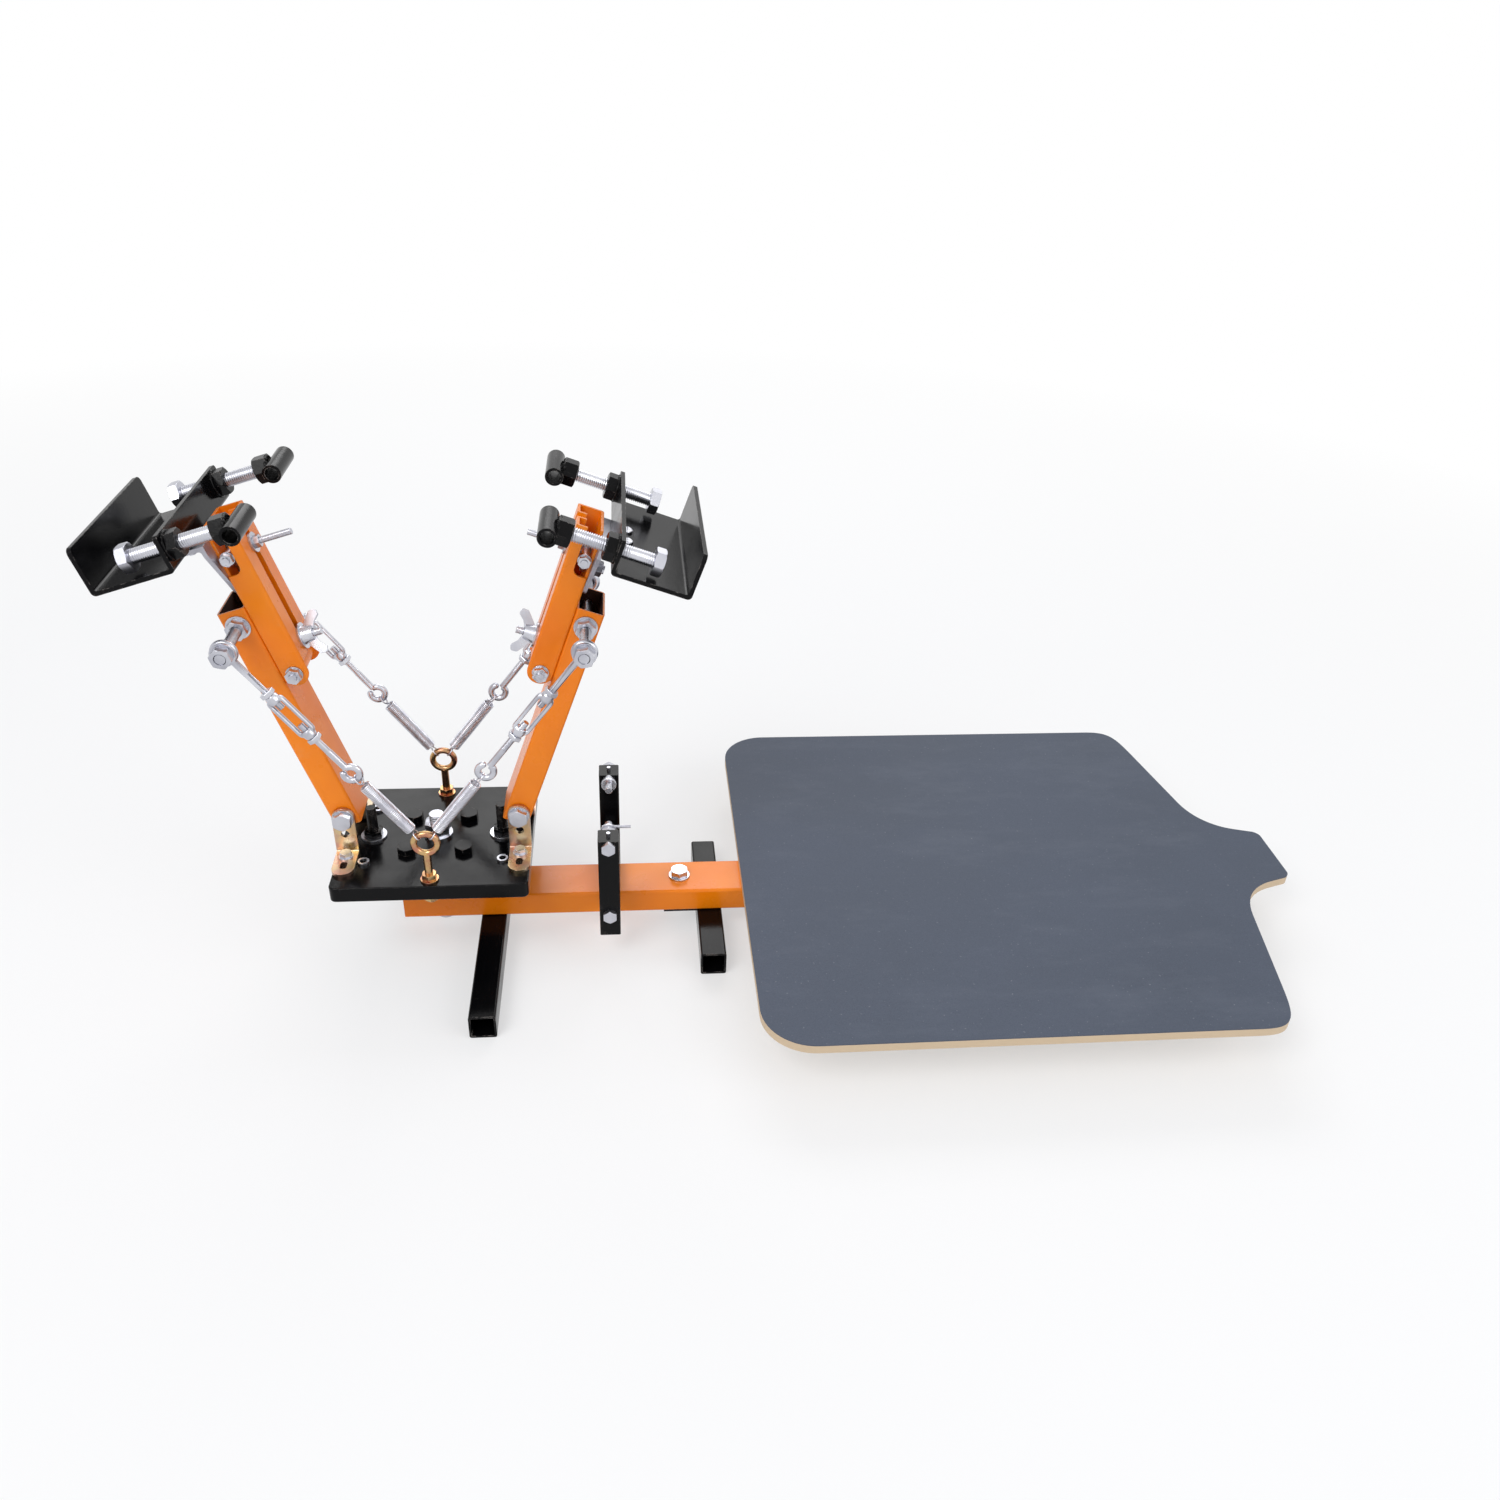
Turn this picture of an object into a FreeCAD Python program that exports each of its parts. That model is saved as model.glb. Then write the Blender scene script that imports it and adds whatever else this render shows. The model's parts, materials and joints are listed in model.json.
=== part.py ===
"""Tabletop manual screen printing machine: two sprung screen arms on a turning head, one platen.

Millimetres, +Z up. The beam runs along X with the platen at +X, the machine is symmetric about Y = 0,
and the origin is the middle of the left foot's underside. The arms are modelled in their raised pose.
"""
import math
import os

import FreeCAD
import Part

V = FreeCAD.Vector
X_DIR = V(1, 0, 0)
Y_DIR = V(0, 1, 0)
Z_DIR = V(0, 0, 1)

# Frame: beam and feet
TUBE_W = 40.0
TUBE_H = 20.0
TUBE_WALL = 1.6
TUBE_CORNER = 2.2
BEAM_X0 = -70.0
BEAM_X1 = 540.0
FOOT_SIZE = 20.0
FOOT_WALL = 1.6
FOOT_CORNER = 1.8
LEFT_FOOT_LEN = 272.0
RIGHT_FOOT_X = 173.0
RIGHT_FOOT_LEN = 150.0
FOOT_FLANGE_T = 3.0
FOOT_FLANGE_REACH = 26.0
FOOT_FLANGE_W = 34.0
BEAM_BOLT_X = 149.0

# Platen
BOARD_T = 6.6
LAMINATE_T = 0.9
PLATEN_X0 = 199.0
PLATEN_HALF_W = 204.5
PLATEN_SIDE_END_X = 556.0
PLATEN_SHOULDER_X = 589.0
PLATEN_SHOULDER_Y = 162.0
PLATEN_SHOULDER_BEND = 34.0
PLATEN_NECK_X = 603.0
PLATEN_NECK_Y = 80.0
PLATEN_TAB_X = 657.0
PLATEN_TAB_HALF = 31.0
PLATEN_TAB_ROOT_X = 634.0
PLATEN_BACK_R = 38.0
PLATEN_TAB_R = 5.0
PLATEN_BOLT_XS = (235.0, 330.0, 425.0, 520.0)

# Fasteners
M5_R = 2.5
M5_AF = 8.0
M5_HEAD = 3.5
M5_NUT = 4.0
M6_R = 3.0
M6_AF = 10.0
M6_HEAD = 4.0
M6_NUT = 5.0
M6_WASHER_R = 6.0
M8_R = 4.0
M8_AF = 13.0
M8_HEAD = 5.3
M8_NUT = 6.5
M8_WASHER_R = 8.5
M12_AF = 18.0
M12_HEAD = 7.5
M12_NUT = 10.5
WASHER_T = 1.6
BOLT_GAP = 0.25
THREAD_GAP = 0.05
RUNNING_GAP = 0.05

# Head
HEAD_X = -40.0
PLATE_X = 146.0
PLATE_Y = 134.0
PLATE_T = 12.5
PLATE_TOP = 87.0
PLATE_CORNER = 5.0
PLATE_EDGE_R = 1.0
HUB_FLANGE_R = 42.0
HUB_FLANGE_T = 8.0
HUB_STEM_R = 16.5
HUB_BOLT_X = 21.5
HUB_BOLT_Y = 22.0
THRUST_T = 3.0
CENTRE_BOLT_R = 6.0

# Stops and small plate hardware
STOP_X = 49.5
STOP_R = 4.0
STOP_GAP = 0.3
STOP_WASHER_R = 9.8
PLATE_RING_X = 52.0
PLATE_RING_Y = 35.5
PLATE_RING_R = 4.3
PLATE_RING_BORE = 2.6
EYE_BOLT_Y = 58.0
EYE_CENTRE_Z = 120.0
EYE_RING_R = 8.5
EYE_WIRE_R = 2.5
EYE_SHANK_R = 3.0

# Arm brackets and pivots
PIVOT_X = 65.2
PIVOT_Z = 119.9
PIVOT_R = 4.0
BRACKET_W = 16.6
BRACKET_T = 3.0
BRACKET_REACH = 30.0
BRACKET_BEND_R = 1.5
BRACKET_SCREW_Y = 31.0
BRACKET_SLOT_Y = 42.0
BRACKET_HOLE_Z = 105.6
ARM_SIDE_GAP = 0.5

# Arms, measured from the pivot: u runs up the arm, w outward from the machine's middle
LEAN = {"left": 17.5, "right": 19.5}
ARM_BELOW = 9.0
ARM_ABOVE = 178.0
ARM_BUSH_R = 7.0
ROD_DROP = 12.0
ROD_R = 4.0
CHANNEL_PIVOT_DROP = 56.5
WING_RISE = 17.5
WING_WASHER_R = 9.5
CHANNEL_DEPTH = 19.0
CHANNEL_WALL = 2.0
CHANNEL_SLOT = 8.0
CHANNEL_LIP = 7.0
CHANNEL_ABOVE_CLAMP = 8.0
NOTCH_DROP = 28.0
NOTCH_DEPTH = 11.0
NOTCH_R = 5.0
LUG_R = 6.0
LUG_GAP = 0.6
LUG_SIDE_GAP = 0.2
BACK_SLOT_HALF = 14.0
BACK_SLOT_R = 3.3

# Screen clamps
CLAMP_RISE = 51.0
CLAMP_T = 3.0
CLAMP_THROAT = 50.0
CLAMP_END = 11.0
JAW_REACH = 22.0
LEDGE_REACH = 30.0
JAW_CORNER = 2.5
LEDGE_CORNER = 4.5
CLAMP_BEND_R = 2.0
CLAMP_BOLT_W = 17.5
CLAMP_BOLT_Y = 10.0
CLAMP_BOLT_HEAD_R = 5.0
CLAMP_BOLT_HEAD_H = 2.4
CARRIER_T = 3.0
CARRIER_LEG = 42.0
CARRIER_TIP_HALF = 14.0
CARRIER_HALF = 30.0
CARRIER_SIDE = 7.0
CARRIER_CORNER = 4.0
CARRIER_FOOT_W = 24.0
CARRIER_BOLT_DROP = 26.0

# The lever at the channel's top: an eye on a cross bolt, with its nut on the slot face
LEVER_DROP = 16.0
LEVER_R = 2.4
LEVER_W = -57.0
LEVER_EYE_R = 5.0
LEVER_EYE_T = 5.0
CROSS_W = -16.0
CROSS_SLEEVE_R = 3.8
CROSS_WASHER_R = 4.8

# Clamp screws
SCREW_R = 5.0
SCREW_Y = 56.0
SCREW_RISE = 11.5
SCREW_TIP_W = 29.0
SCREW_HEAD_H = 7.0
SCREW_AF = 17.0
SCREW_HANDLE_W = -49.0
HANDLE_R = 6.5
HANDLE_BORE_R = 4.6
HANDLE_LEN = 40.0
HANDLE_NUT_H = 9.0
HANDLE_NUT_SINK = 1.5
HANDLE_END_GAP = 1.0
JAW_NUT_H = 8.0

# Spring lines, measured along the line from the rod to the eye bolt
LINE_WIRE_R = 2.5
LINE_EYE_GAP = 0.3
FRAME_START = 40.5
FRAME_LEN = 40.5
FRAME_W = 12.0
FRAME_T = 7.0
FRAME_RAIL = 2.4
FRAME_BOSS = 7.0
FRAME_THREAD = 5.0
LOCK_NUT_AF = 9.0
LOCK_NUT_H = 3.5
HOOK_S = 119.0
HOOK_R = 5.6
HOOK_GAP_DEG = 55.0
SPRING_R = 4.6
SPRING_WIRE_R = 0.9
SPRING_START = 131.5
SPRING_TAIL = 15.0
SPRING_CAP = 1.5
LOOP_GAP = 0.4

# Registration gate
GATE_X = 93.0
GATE_POST = 16.0
GATE_HALF = 46.0
GATE_TOP = 114.5
GATE_DROP = 15.0
GATE_BAR_H = 10.0
GATE_SCREW_Z = 109.5
GATE_TIP_Y = 23.0
GATE_SCREW_R = 3.0
GATE_BAR_SCREW_LEN = 29.0
GATE_DISC_T = 2.0
GATE_PIN_R = 1.5
GATE_HANDLE_R = 1.2
GATE_HANDLE_LEN = 17.0

BEAM_BOTTOM = FOOT_SIZE
BEAM_TOP = BEAM_BOTTOM + TUBE_H
PLATE_BOTTOM = PLATE_TOP - PLATE_T
HALF_T = TUBE_H / 2
HALF_W = TUBE_W / 2
BRACKET_IN = HALF_W + ARM_SIDE_GAP
BRACKET_OUT = BRACKET_IN + BRACKET_T
SIGNS = (-1, 1)
ROD_U = ARM_ABOVE - ROD_DROP
CHANNEL_PIVOT_U = ARM_ABOVE - CHANNEL_PIVOT_DROP
WING_U = CHANNEL_PIVOT_U + WING_RISE
CLAMP_U = ARM_ABOVE + CLAMP_RISE
CLAMP_HALF = SCREW_Y + CLAMP_END
CARRIER_BOLT_U = CLAMP_U - CARRIER_BOLT_DROP
LEVER_U = CLAMP_U - LEVER_DROP
SCREW_U = CLAMP_U + CLAMP_T + SCREW_RISE
SCREW_END_W = SCREW_HANDLE_W + HANDLE_R + HANDLE_END_GAP


def block(x0, x1, y0, y1, z0, z1, r=0.0, axis=None):
    """A box between two corners, with the edges along one axis rounded."""
    b = Part.makeBox(x1 - x0, y1 - y0, z1 - z0, V(x0, y0, z0))
    if r > 0:
        edges = [e for e in b.Edges if abs(e.tangentAt(e.FirstParameter).dot(axis)) > 0.99]
        b = b.makeFillet(r, edges)
    return b


def rod(r, a, b):
    """A round bar of radius r from point a to point b."""
    return Part.makeCylinder(r, (b - a).Length, a, b - a)


def ring(outer, inner, a, b):
    """A washer, bush or round tube from a to b."""
    return rod(outer, a, b).cut(rod(inner, a, b))


def hexagon(af, a, b, bore=0.0, chamfer=True):
    """A hexagon bar of width af across flats from a to b, chamfered like a nut or a bolt head."""
    direction = b - a
    height = direction.Length
    corner = af / 2 / math.cos(math.pi / 6)
    points = []
    for i in range(7):
        t = math.radians(60 * i + 30)
        points.append(V(corner * math.cos(t), corner * math.sin(t), 0))
    solid = Part.Face(Part.makePolygon(points)).extrude(V(0, 0, height))
    if chamfer:
        c = (corner - af / 2) * 0.9
        profile = Part.makePolygon([
            V(0, 0, 0),
            V(corner - c, 0, 0),
            V(corner, 0, c * 0.577),
            V(corner, 0, height - c * 0.577),
            V(corner - c, 0, height),
            V(0, 0, height),
            V(0, 0, 0),
        ])
        solid = solid.common(Part.Face(profile).revolve(V(0, 0, 0), Z_DIR, 360))
    if bore > 0:
        solid = solid.cut(rod(bore, V(0, 0, -1), V(0, 0, height + 1)))
    solid.Placement = FreeCAD.Placement(a, FreeCAD.Rotation(Z_DIR, direction))
    return solid


def bolt(a, b, r, af, head_h):
    """A hexagon bolt: the head's bearing face is at a and the shank ends at b."""
    out = (a - b).normalize()
    return rod(r, a, b).fuse(hexagon(af, a, a + out * head_h)).removeSplitter()


def square_tube(x0, x1, y0, y1, z0, z1, wall, corner, axis):
    """A rectangular tube open at both ends along its axis."""
    outer = block(x0, x1, y0, y1, z0, z1, corner, axis)
    a = V(wall, wall, wall) - axis * (wall + 1)
    inner = block(x0 + a.x, x1 - a.x, y0 + a.y, y1 - a.y, z0 + a.z, z1 - a.z, max(corner - wall, 0.3), axis)
    return outer.cut(inner)


def slot_cutter(centre, along, half_len, r, axis, depth):
    """A round-ended slot through a plate, centred on a point, running along one direction."""
    start = centre - axis * depth / 2
    side = axis.cross(along)
    ends = [centre - along * half_len, centre + along * half_len]
    body = None
    for e in ends:
        c = rod(r, e - axis * depth / 2, e + axis * depth / 2)
        body = c if body is None else body.fuse(c)
    p = [start - along * half_len - side * r, start + along * half_len - side * r]
    p += [start + along * half_len + side * r, start - along * half_len + side * r]
    middle = Part.Face(Part.makePolygon(p + [p[0]])).extrude(axis * depth)
    return body.fuse(middle)


def torus_arc(centre, normal, start, radius, wire, degrees):
    """Part of a ring of round wire: it starts in one direction from its centre and turns about the normal."""
    mid = centre + start * radius
    circle = Part.Wire(Part.Circle(mid, normal.cross(start), wire).toShape())
    return Part.Face(circle).revolve(centre, normal, degrees)


def compound(parts):
    """One node of one or several solids."""
    solids = []
    for p in parts:
        solids.extend(p.Solids)
    return solids[0] if len(solids) == 1 else Part.makeCompound(solids)


def moved(shape, x, y, z):
    copy = shape.copy()
    copy.translate(V(x, y, z))
    return copy


# Base


def beam():
    tube = square_tube(BEAM_X0, BEAM_X1, -HALF_W, HALF_W, BEAM_BOTTOM, BEAM_TOP, TUBE_WALL, TUBE_CORNER, X_DIR)
    tube = tube.cut(rod(CENTRE_BOLT_R + BOLT_GAP, V(HEAD_X, 0, 0), V(HEAD_X, 0, BEAM_TOP + 1)))
    tube = tube.cut(rod(M8_R + BOLT_GAP, V(BEAM_BOLT_X, 0, 0), V(BEAM_BOLT_X, 0, BEAM_TOP + 1)))
    for x in PLATEN_BOLT_XS:
        tube = tube.cut(rod(M6_R + BOLT_GAP, V(x, 0, 0), V(x, 0, BEAM_TOP + 1)))
    for y in SIGNS:
        at = V(GATE_X, y * HALF_W / 2, BEAM_TOP)
        tube = tube.cut(rod(M5_R + BOLT_GAP, at - Z_DIR * (TUBE_WALL + 1), at + Z_DIR))
    return tube


def foot(x, length):
    return square_tube(
        x - FOOT_SIZE / 2, x + FOOT_SIZE / 2, -length / 2, length / 2, 0, FOOT_SIZE,
        FOOT_WALL, FOOT_CORNER, Y_DIR,
    )


def right_foot():
    """The right foot has a welded flange under the beam, which the beam bolt holds."""
    tube = foot(RIGHT_FOOT_X, RIGHT_FOOT_LEN)
    x1 = RIGHT_FOOT_X - FOOT_SIZE / 2
    flange = block(
        BEAM_BOLT_X - FOOT_FLANGE_REACH / 2, x1 + FOOT_WALL / 2, -FOOT_FLANGE_W / 2, FOOT_FLANGE_W / 2,
        FOOT_SIZE - FOOT_FLANGE_T, FOOT_SIZE,
    )
    flange = flange.cut(rod(M8_R + BOLT_GAP, V(BEAM_BOLT_X, 0, 0), V(BEAM_BOLT_X, 0, FOOT_SIZE + 1)))
    keep_hollow = block(
        x1 + FOOT_WALL, x1 + FOOT_SIZE, -FOOT_FLANGE_W, FOOT_FLANGE_W, 0, FOOT_SIZE - FOOT_WALL)
    return tube.fuse(flange.cut(keep_hollow)).removeSplitter()


def beam_bolt():
    x = BEAM_BOLT_X
    top = BEAM_TOP + WASHER_T
    under = FOOT_SIZE - FOOT_FLANGE_T
    nut = under - WASHER_T
    return compound([
        bolt(V(x, 0, top), V(x, 0, nut - M8_NUT - 2.5), M8_R, M8_AF, M8_HEAD),
        ring(M8_WASHER_R, M8_R + BOLT_GAP, V(x, 0, BEAM_TOP), V(x, 0, top)),
        ring(M8_WASHER_R, M8_R + BOLT_GAP, V(x, 0, nut), V(x, 0, under)),
        hexagon(M8_AF, V(x, 0, nut - M8_NUT), V(x, 0, nut), M8_R + THREAD_GAP),
    ])


def platen_outline():
    """The board seen from above: a wide back, sloping shoulders and a narrow tab at the far end."""
    def arc3(a, m, b):
        return Part.Arc(a, m, b).toShape()

    def corner(p, q, r):
        """The point at distance r from p towards q."""
        return p + (q - p).normalize() * r

    w = PLATEN_HALF_W
    back = V(PLATEN_X0, -w, 0)
    side = V(PLATEN_SIDE_END_X, -w, 0)
    shoulder = V(PLATEN_SHOULDER_X, -PLATEN_SHOULDER_Y, 0)
    neck = V(PLATEN_NECK_X, -PLATEN_NECK_Y, 0)
    root = V(PLATEN_TAB_ROOT_X, -PLATEN_TAB_HALF - 7, 0)
    tip = V(PLATEN_TAB_X, -PLATEN_TAB_HALF, 0)
    r = PLATEN_BACK_R
    k = r * (1 - math.sqrt(0.5))
    half = [
        (V(PLATEN_X0, 0, 0), V(PLATEN_X0, -w + r, 0)),
        (V(PLATEN_X0, -w + r, 0), V(PLATEN_X0 + k, -w + k, 0), back + X_DIR * r),
        (back + X_DIR * r, side),
    ]
    # The shoulder and the neck turn smoothly, each as one tangent curve
    slope = (neck - shoulder).normalize()
    edges = []
    for e in half:
        edges.append(arc3(*e) if len(e) == 3 else Part.LineSegment(*e).toShape())
    bez = Part.BezierCurve()
    mid_x = side.x + (shoulder.x - side.x) * 0.73
    bez.setPoles([side, V(mid_x, -w, 0), shoulder - slope * PLATEN_SHOULDER_BEND, shoulder])
    edges.append(bez.toShape())
    edges.append(Part.LineSegment(shoulder, neck).toShape())
    tab_in = corner(root, tip, 4.0)
    bez = Part.BezierCurve()
    bez.setPoles([neck, neck + slope * 24, tab_in - (tip - root).normalize() * 18, tab_in])
    edges.append(bez.toShape())
    r = PLATEN_TAB_R
    near_tip = tip - (tip - root).normalize() * r
    edges.append(Part.LineSegment(tab_in, near_tip).toShape())
    edges.append(arc3(near_tip, tip + V(-r * 0.32, r * 0.22, 0), tip + Y_DIR * r))
    edges.append(Part.LineSegment(tip + Y_DIR * r, V(PLATEN_TAB_X, 0, 0)).toShape())
    far = [e.mirror(V(0, 0, 0), Y_DIR) for e in edges]
    return Part.Wire(Part.__sortEdges__(edges + far))


def platen():
    face = Part.Face(platen_outline())
    board = face.extrude(V(0, 0, BOARD_T))
    board.translate(V(0, 0, BEAM_TOP))
    for x in PLATEN_BOLT_XS:
        board = board.cut(rod(M6_R + BOLT_GAP, V(x, 0, BEAM_TOP - 1), V(x, 0, BEAM_TOP + BOARD_T - 1.2)))
    laminate = face.extrude(V(0, 0, LAMINATE_T))
    laminate.translate(V(0, 0, BEAM_TOP + BOARD_T))
    return board, laminate


def platen_bolts():
    """Screws from under the beam hold the board."""
    parts = []
    for x in PLATEN_BOLT_XS:
        low = BEAM_BOTTOM - WASHER_T
        parts.append(bolt(V(x, 0, low), V(x, 0, BEAM_TOP + BOARD_T - 1.6), M6_R, M6_AF, M6_HEAD))
        parts.append(ring(M6_WASHER_R, M6_R + BOLT_GAP, V(x, 0, low), V(x, 0, BEAM_BOTTOM)))
    return compound(parts)


def centre_bolt():
    """The head turns on this bolt, between a thrust washer and the washer under the top nut."""
    x = HEAD_X
    r = CENTRE_BOLT_R
    nut_low = PLATE_TOP + 2.5
    low = BEAM_BOTTOM - WASHER_T
    return compound([
        bolt(V(x, 0, low), V(x, 0, nut_low + M12_NUT + 7), r, M12_AF, M12_HEAD),
        ring(2 * r, r + BOLT_GAP, V(x, 0, low), V(x, 0, BEAM_BOTTOM)),
        ring(2 * r - 1, r + BOLT_GAP, V(x, 0, PLATE_TOP), V(x, 0, nut_low)),
        hexagon(M12_AF, V(x, 0, nut_low), V(x, 0, nut_low + M12_NUT), r + THREAD_GAP),
    ])


def thrust_washer():
    return ring(HUB_STEM_R, CENTRE_BOLT_R + BOLT_GAP, V(HEAD_X, 0, BEAM_TOP), V(HEAD_X, 0, BEAM_TOP + THRUST_T))


def gate_yoke():
    """Two posts on a flat bar across the beam guide a lowered arm into register."""
    x0 = GATE_X - GATE_POST / 2
    x1 = GATE_X + GATE_POST / 2
    inner = GATE_HALF - GATE_POST / 2
    low = BEAM_TOP - GATE_DROP
    yoke = block(x0, x1, -inner, inner, BEAM_TOP, BEAM_TOP + GATE_BAR_H)
    for s in SIGNS:
        y0, y1 = sorted((s * inner, s * (inner + GATE_POST)))
        post = block(x0, x1, y0, y1, low, GATE_TOP, 1.2, Z_DIR)
        yoke = yoke.fuse(post)
    for s in SIGNS:
        at = V(GATE_X, s * GATE_HALF, GATE_SCREW_Z)
        span = Y_DIR * GATE_POST
        yoke = yoke.cut(rod(GATE_SCREW_R + THREAD_GAP, at - span, at + span))
        at = V(GATE_X, s * (inner + GATE_POST + 1), BEAM_TOP + GATE_BAR_H / 2)
        deep = GATE_BAR_SCREW_LEN + 2
        yoke = yoke.cut(rod(GATE_SCREW_R + THREAD_GAP, at, at - Y_DIR * s * deep))
        at = V(GATE_X, s * HALF_W / 2, BEAM_TOP)
        yoke = yoke.cut(rod(M5_R + THREAD_GAP, at - Z_DIR, at + Z_DIR * (GATE_BAR_H + 1)))
        at = V(GATE_X, s * GATE_HALF, GATE_TOP)
        yoke = yoke.cut(rod(GATE_PIN_R + THREAD_GAP, at - Z_DIR * 2, at + Z_DIR))
    return yoke.removeSplitter()


def gate_screws():
    """Set screws with lock nuts in the posts, the screws that hold the posts, and their top pins."""
    x = GATE_X
    z = GATE_SCREW_Z
    inner = GATE_HALF - GATE_POST / 2
    outer = GATE_HALF + GATE_POST / 2
    r = GATE_SCREW_R
    nut = inner - M6_NUT
    disc = nut - GATE_DISC_T
    parts = []
    for s in SIGNS:
        screw = bolt(V(x, s * outer, z), V(x, s * GATE_TIP_Y, z), r, M6_AF, M6_HEAD)
        if s < 0:
            # The front screw is turned by a thin bar through it
            bar_y = s * (GATE_TIP_Y + disc) / 2
            bar = rod(GATE_HANDLE_R, V(x - r - 2, bar_y, z), V(x + GATE_HANDLE_LEN, bar_y, z))
            screw = screw.fuse(bar).removeSplitter()
        parts.append(screw)
        parts.append(hexagon(M6_AF, V(x, s * inner, z), V(x, s * nut, z), r + THREAD_GAP))
        parts.append(ring(M6_WASHER_R, r + THREAD_GAP, V(x, s * nut, z), V(x, s * disc, z)))
        zc = BEAM_TOP + GATE_BAR_H / 2
        end = V(x, s * (outer - GATE_BAR_SCREW_LEN), zc)
        parts.append(bolt(V(x, s * outer, zc), end, r, M6_AF, M6_HEAD))
        top = BEAM_TOP + GATE_BAR_H
        low = V(x, s * HALF_W / 2, BEAM_TOP - TUBE_WALL - 2)
        parts.append(bolt(V(x, s * HALF_W / 2, top), low, M5_R, M5_AF, M5_HEAD))
        parts.append(rod(GATE_PIN_R, V(x, s * GATE_HALF, GATE_TOP - 2), V(x, s * GATE_HALF, GATE_TOP + 3)))
    return compound(parts)


# Head


def at_head(shape):
    return moved(shape, HEAD_X, 0, 0)


def stop_top(side):
    """The height at which a stop stud meets the raised arm's lower end."""
    lean = math.radians(LEAN[side])
    corner_x = PIVOT_X - ARM_BELOW * math.sin(lean) - HALF_T * math.cos(lean)
    corner_z = PIVOT_Z - ARM_BELOW * math.cos(lean) + HALF_T * math.sin(lean)
    reach = STOP_X + STOP_R - corner_x
    if reach > 0:
        height = corner_z - reach * math.tan(lean)
    else:
        height = corner_z - reach / math.tan(lean)
    return height - STOP_GAP


def head_plate():
    plate = block(
        -PLATE_X / 2, PLATE_X / 2, -PLATE_Y / 2, PLATE_Y / 2, PLATE_BOTTOM, PLATE_TOP, PLATE_CORNER, Z_DIR)
    rims = [e for f in plate.Faces if abs(f.normalAt(0, 0).z) > 0.99 for e in f.Edges]
    plate = plate.makeFillet(PLATE_EDGE_R, rims)
    holes = [(0, 0, CENTRE_BOLT_R + RUNNING_GAP)]
    for sx in SIGNS:
        holes.append((sx * STOP_X, 0, STOP_R + THREAD_GAP))
        holes.append((0, sx * EYE_BOLT_Y, EYE_SHANK_R + BOLT_GAP))
        for sy in SIGNS:
            holes.append((sx * HUB_BOLT_X, sy * HUB_BOLT_Y, M8_R + BOLT_GAP))
            holes.append((sx * PIVOT_X, sy * BRACKET_SCREW_Y, M5_R + BOLT_GAP))
            holes.append((sx * PLATE_RING_X, sy * PLATE_RING_Y, PLATE_RING_BORE))
    for x, y, r in holes:
        plate = plate.cut(rod(r, V(x, y, PLATE_BOTTOM - 1), V(x, y, PLATE_TOP + 1)))
    return at_head(plate)


def hub():
    low = BEAM_TOP + THRUST_T
    body = rod(HUB_STEM_R, V(0, 0, low), V(0, 0, PLATE_BOTTOM))
    body = body.fuse(rod(HUB_FLANGE_R, V(0, 0, PLATE_BOTTOM - HUB_FLANGE_T), V(0, 0, PLATE_BOTTOM)))
    body = body.cut(rod(CENTRE_BOLT_R + RUNNING_GAP, V(0, 0, low - 1), V(0, 0, PLATE_TOP)))
    for sx in SIGNS:
        for sy in SIGNS:
            at = V(sx * HUB_BOLT_X, sy * HUB_BOLT_Y, PLATE_BOTTOM)
            body = body.cut(rod(M8_R + THREAD_GAP, at - Z_DIR * (HUB_FLANGE_T + 1), at + Z_DIR))
    return at_head(body.removeSplitter())


def hub_bolts():
    parts = []
    for sx in SIGNS:
        for sy in SIGNS:
            at = V(sx * HUB_BOLT_X, sy * HUB_BOLT_Y, PLATE_TOP)
            parts.append(bolt(at, at - Z_DIR * (PLATE_T + HUB_FLANGE_T + 2), M8_R, M8_AF, M8_HEAD))
    return at_head(compound(parts))


def stop_bolts():
    """Black studs with lock nuts: each raised arm leans back on one."""
    parts = []
    for side, s in (("left", -1), ("right", 1)):
        top = stop_top(side)
        x = s * STOP_X
        stud = rod(STOP_R, V(x, 0, PLATE_BOTTOM - 8), V(x, 0, top))
        low = PLATE_TOP + WASHER_T
        parts.append(stud)
        parts.append(hexagon(M8_AF, V(x, 0, low), V(x, 0, low + M8_NUT - 1.5), STOP_R + THREAD_GAP))
        nut = V(x, 0, PLATE_BOTTOM)
        parts.append(hexagon(M8_AF, nut - Z_DIR * M8_NUT, nut, STOP_R + THREAD_GAP))
    return at_head(compound(parts))


def plate_hardware():
    """The stops' washers, the plate's hollow rings and the screws in the bracket feet."""
    parts = []
    for sx in SIGNS:
        x = sx * STOP_X
        parts.append(ring(STOP_WASHER_R, STOP_R + THREAD_GAP, V(x, 0, PLATE_TOP), V(x, 0, PLATE_TOP + WASHER_T)))
        for sy in SIGNS:
            at = V(sx * PLATE_RING_X, sy * PLATE_RING_Y, PLATE_TOP)
            parts.append(ring(PLATE_RING_R, PLATE_RING_BORE, at, at + Z_DIR * 2.2))
            foot_top = PLATE_TOP + BRACKET_T
            at = V(sx * PIVOT_X, sy * BRACKET_SCREW_Y, foot_top + 1)
            parts.append(ring(5.5, M5_R + BOLT_GAP, at - Z_DIR, at))
            nut = V(at.x, at.y, PLATE_BOTTOM)
            parts.append(bolt(at, nut - Z_DIR * (M5_NUT + 1), M5_R, M5_AF, M5_HEAD))
            parts.append(hexagon(M5_AF, nut - Z_DIR * M5_NUT, nut, M5_R + THREAD_GAP))
    return at_head(compound(parts))


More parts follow.
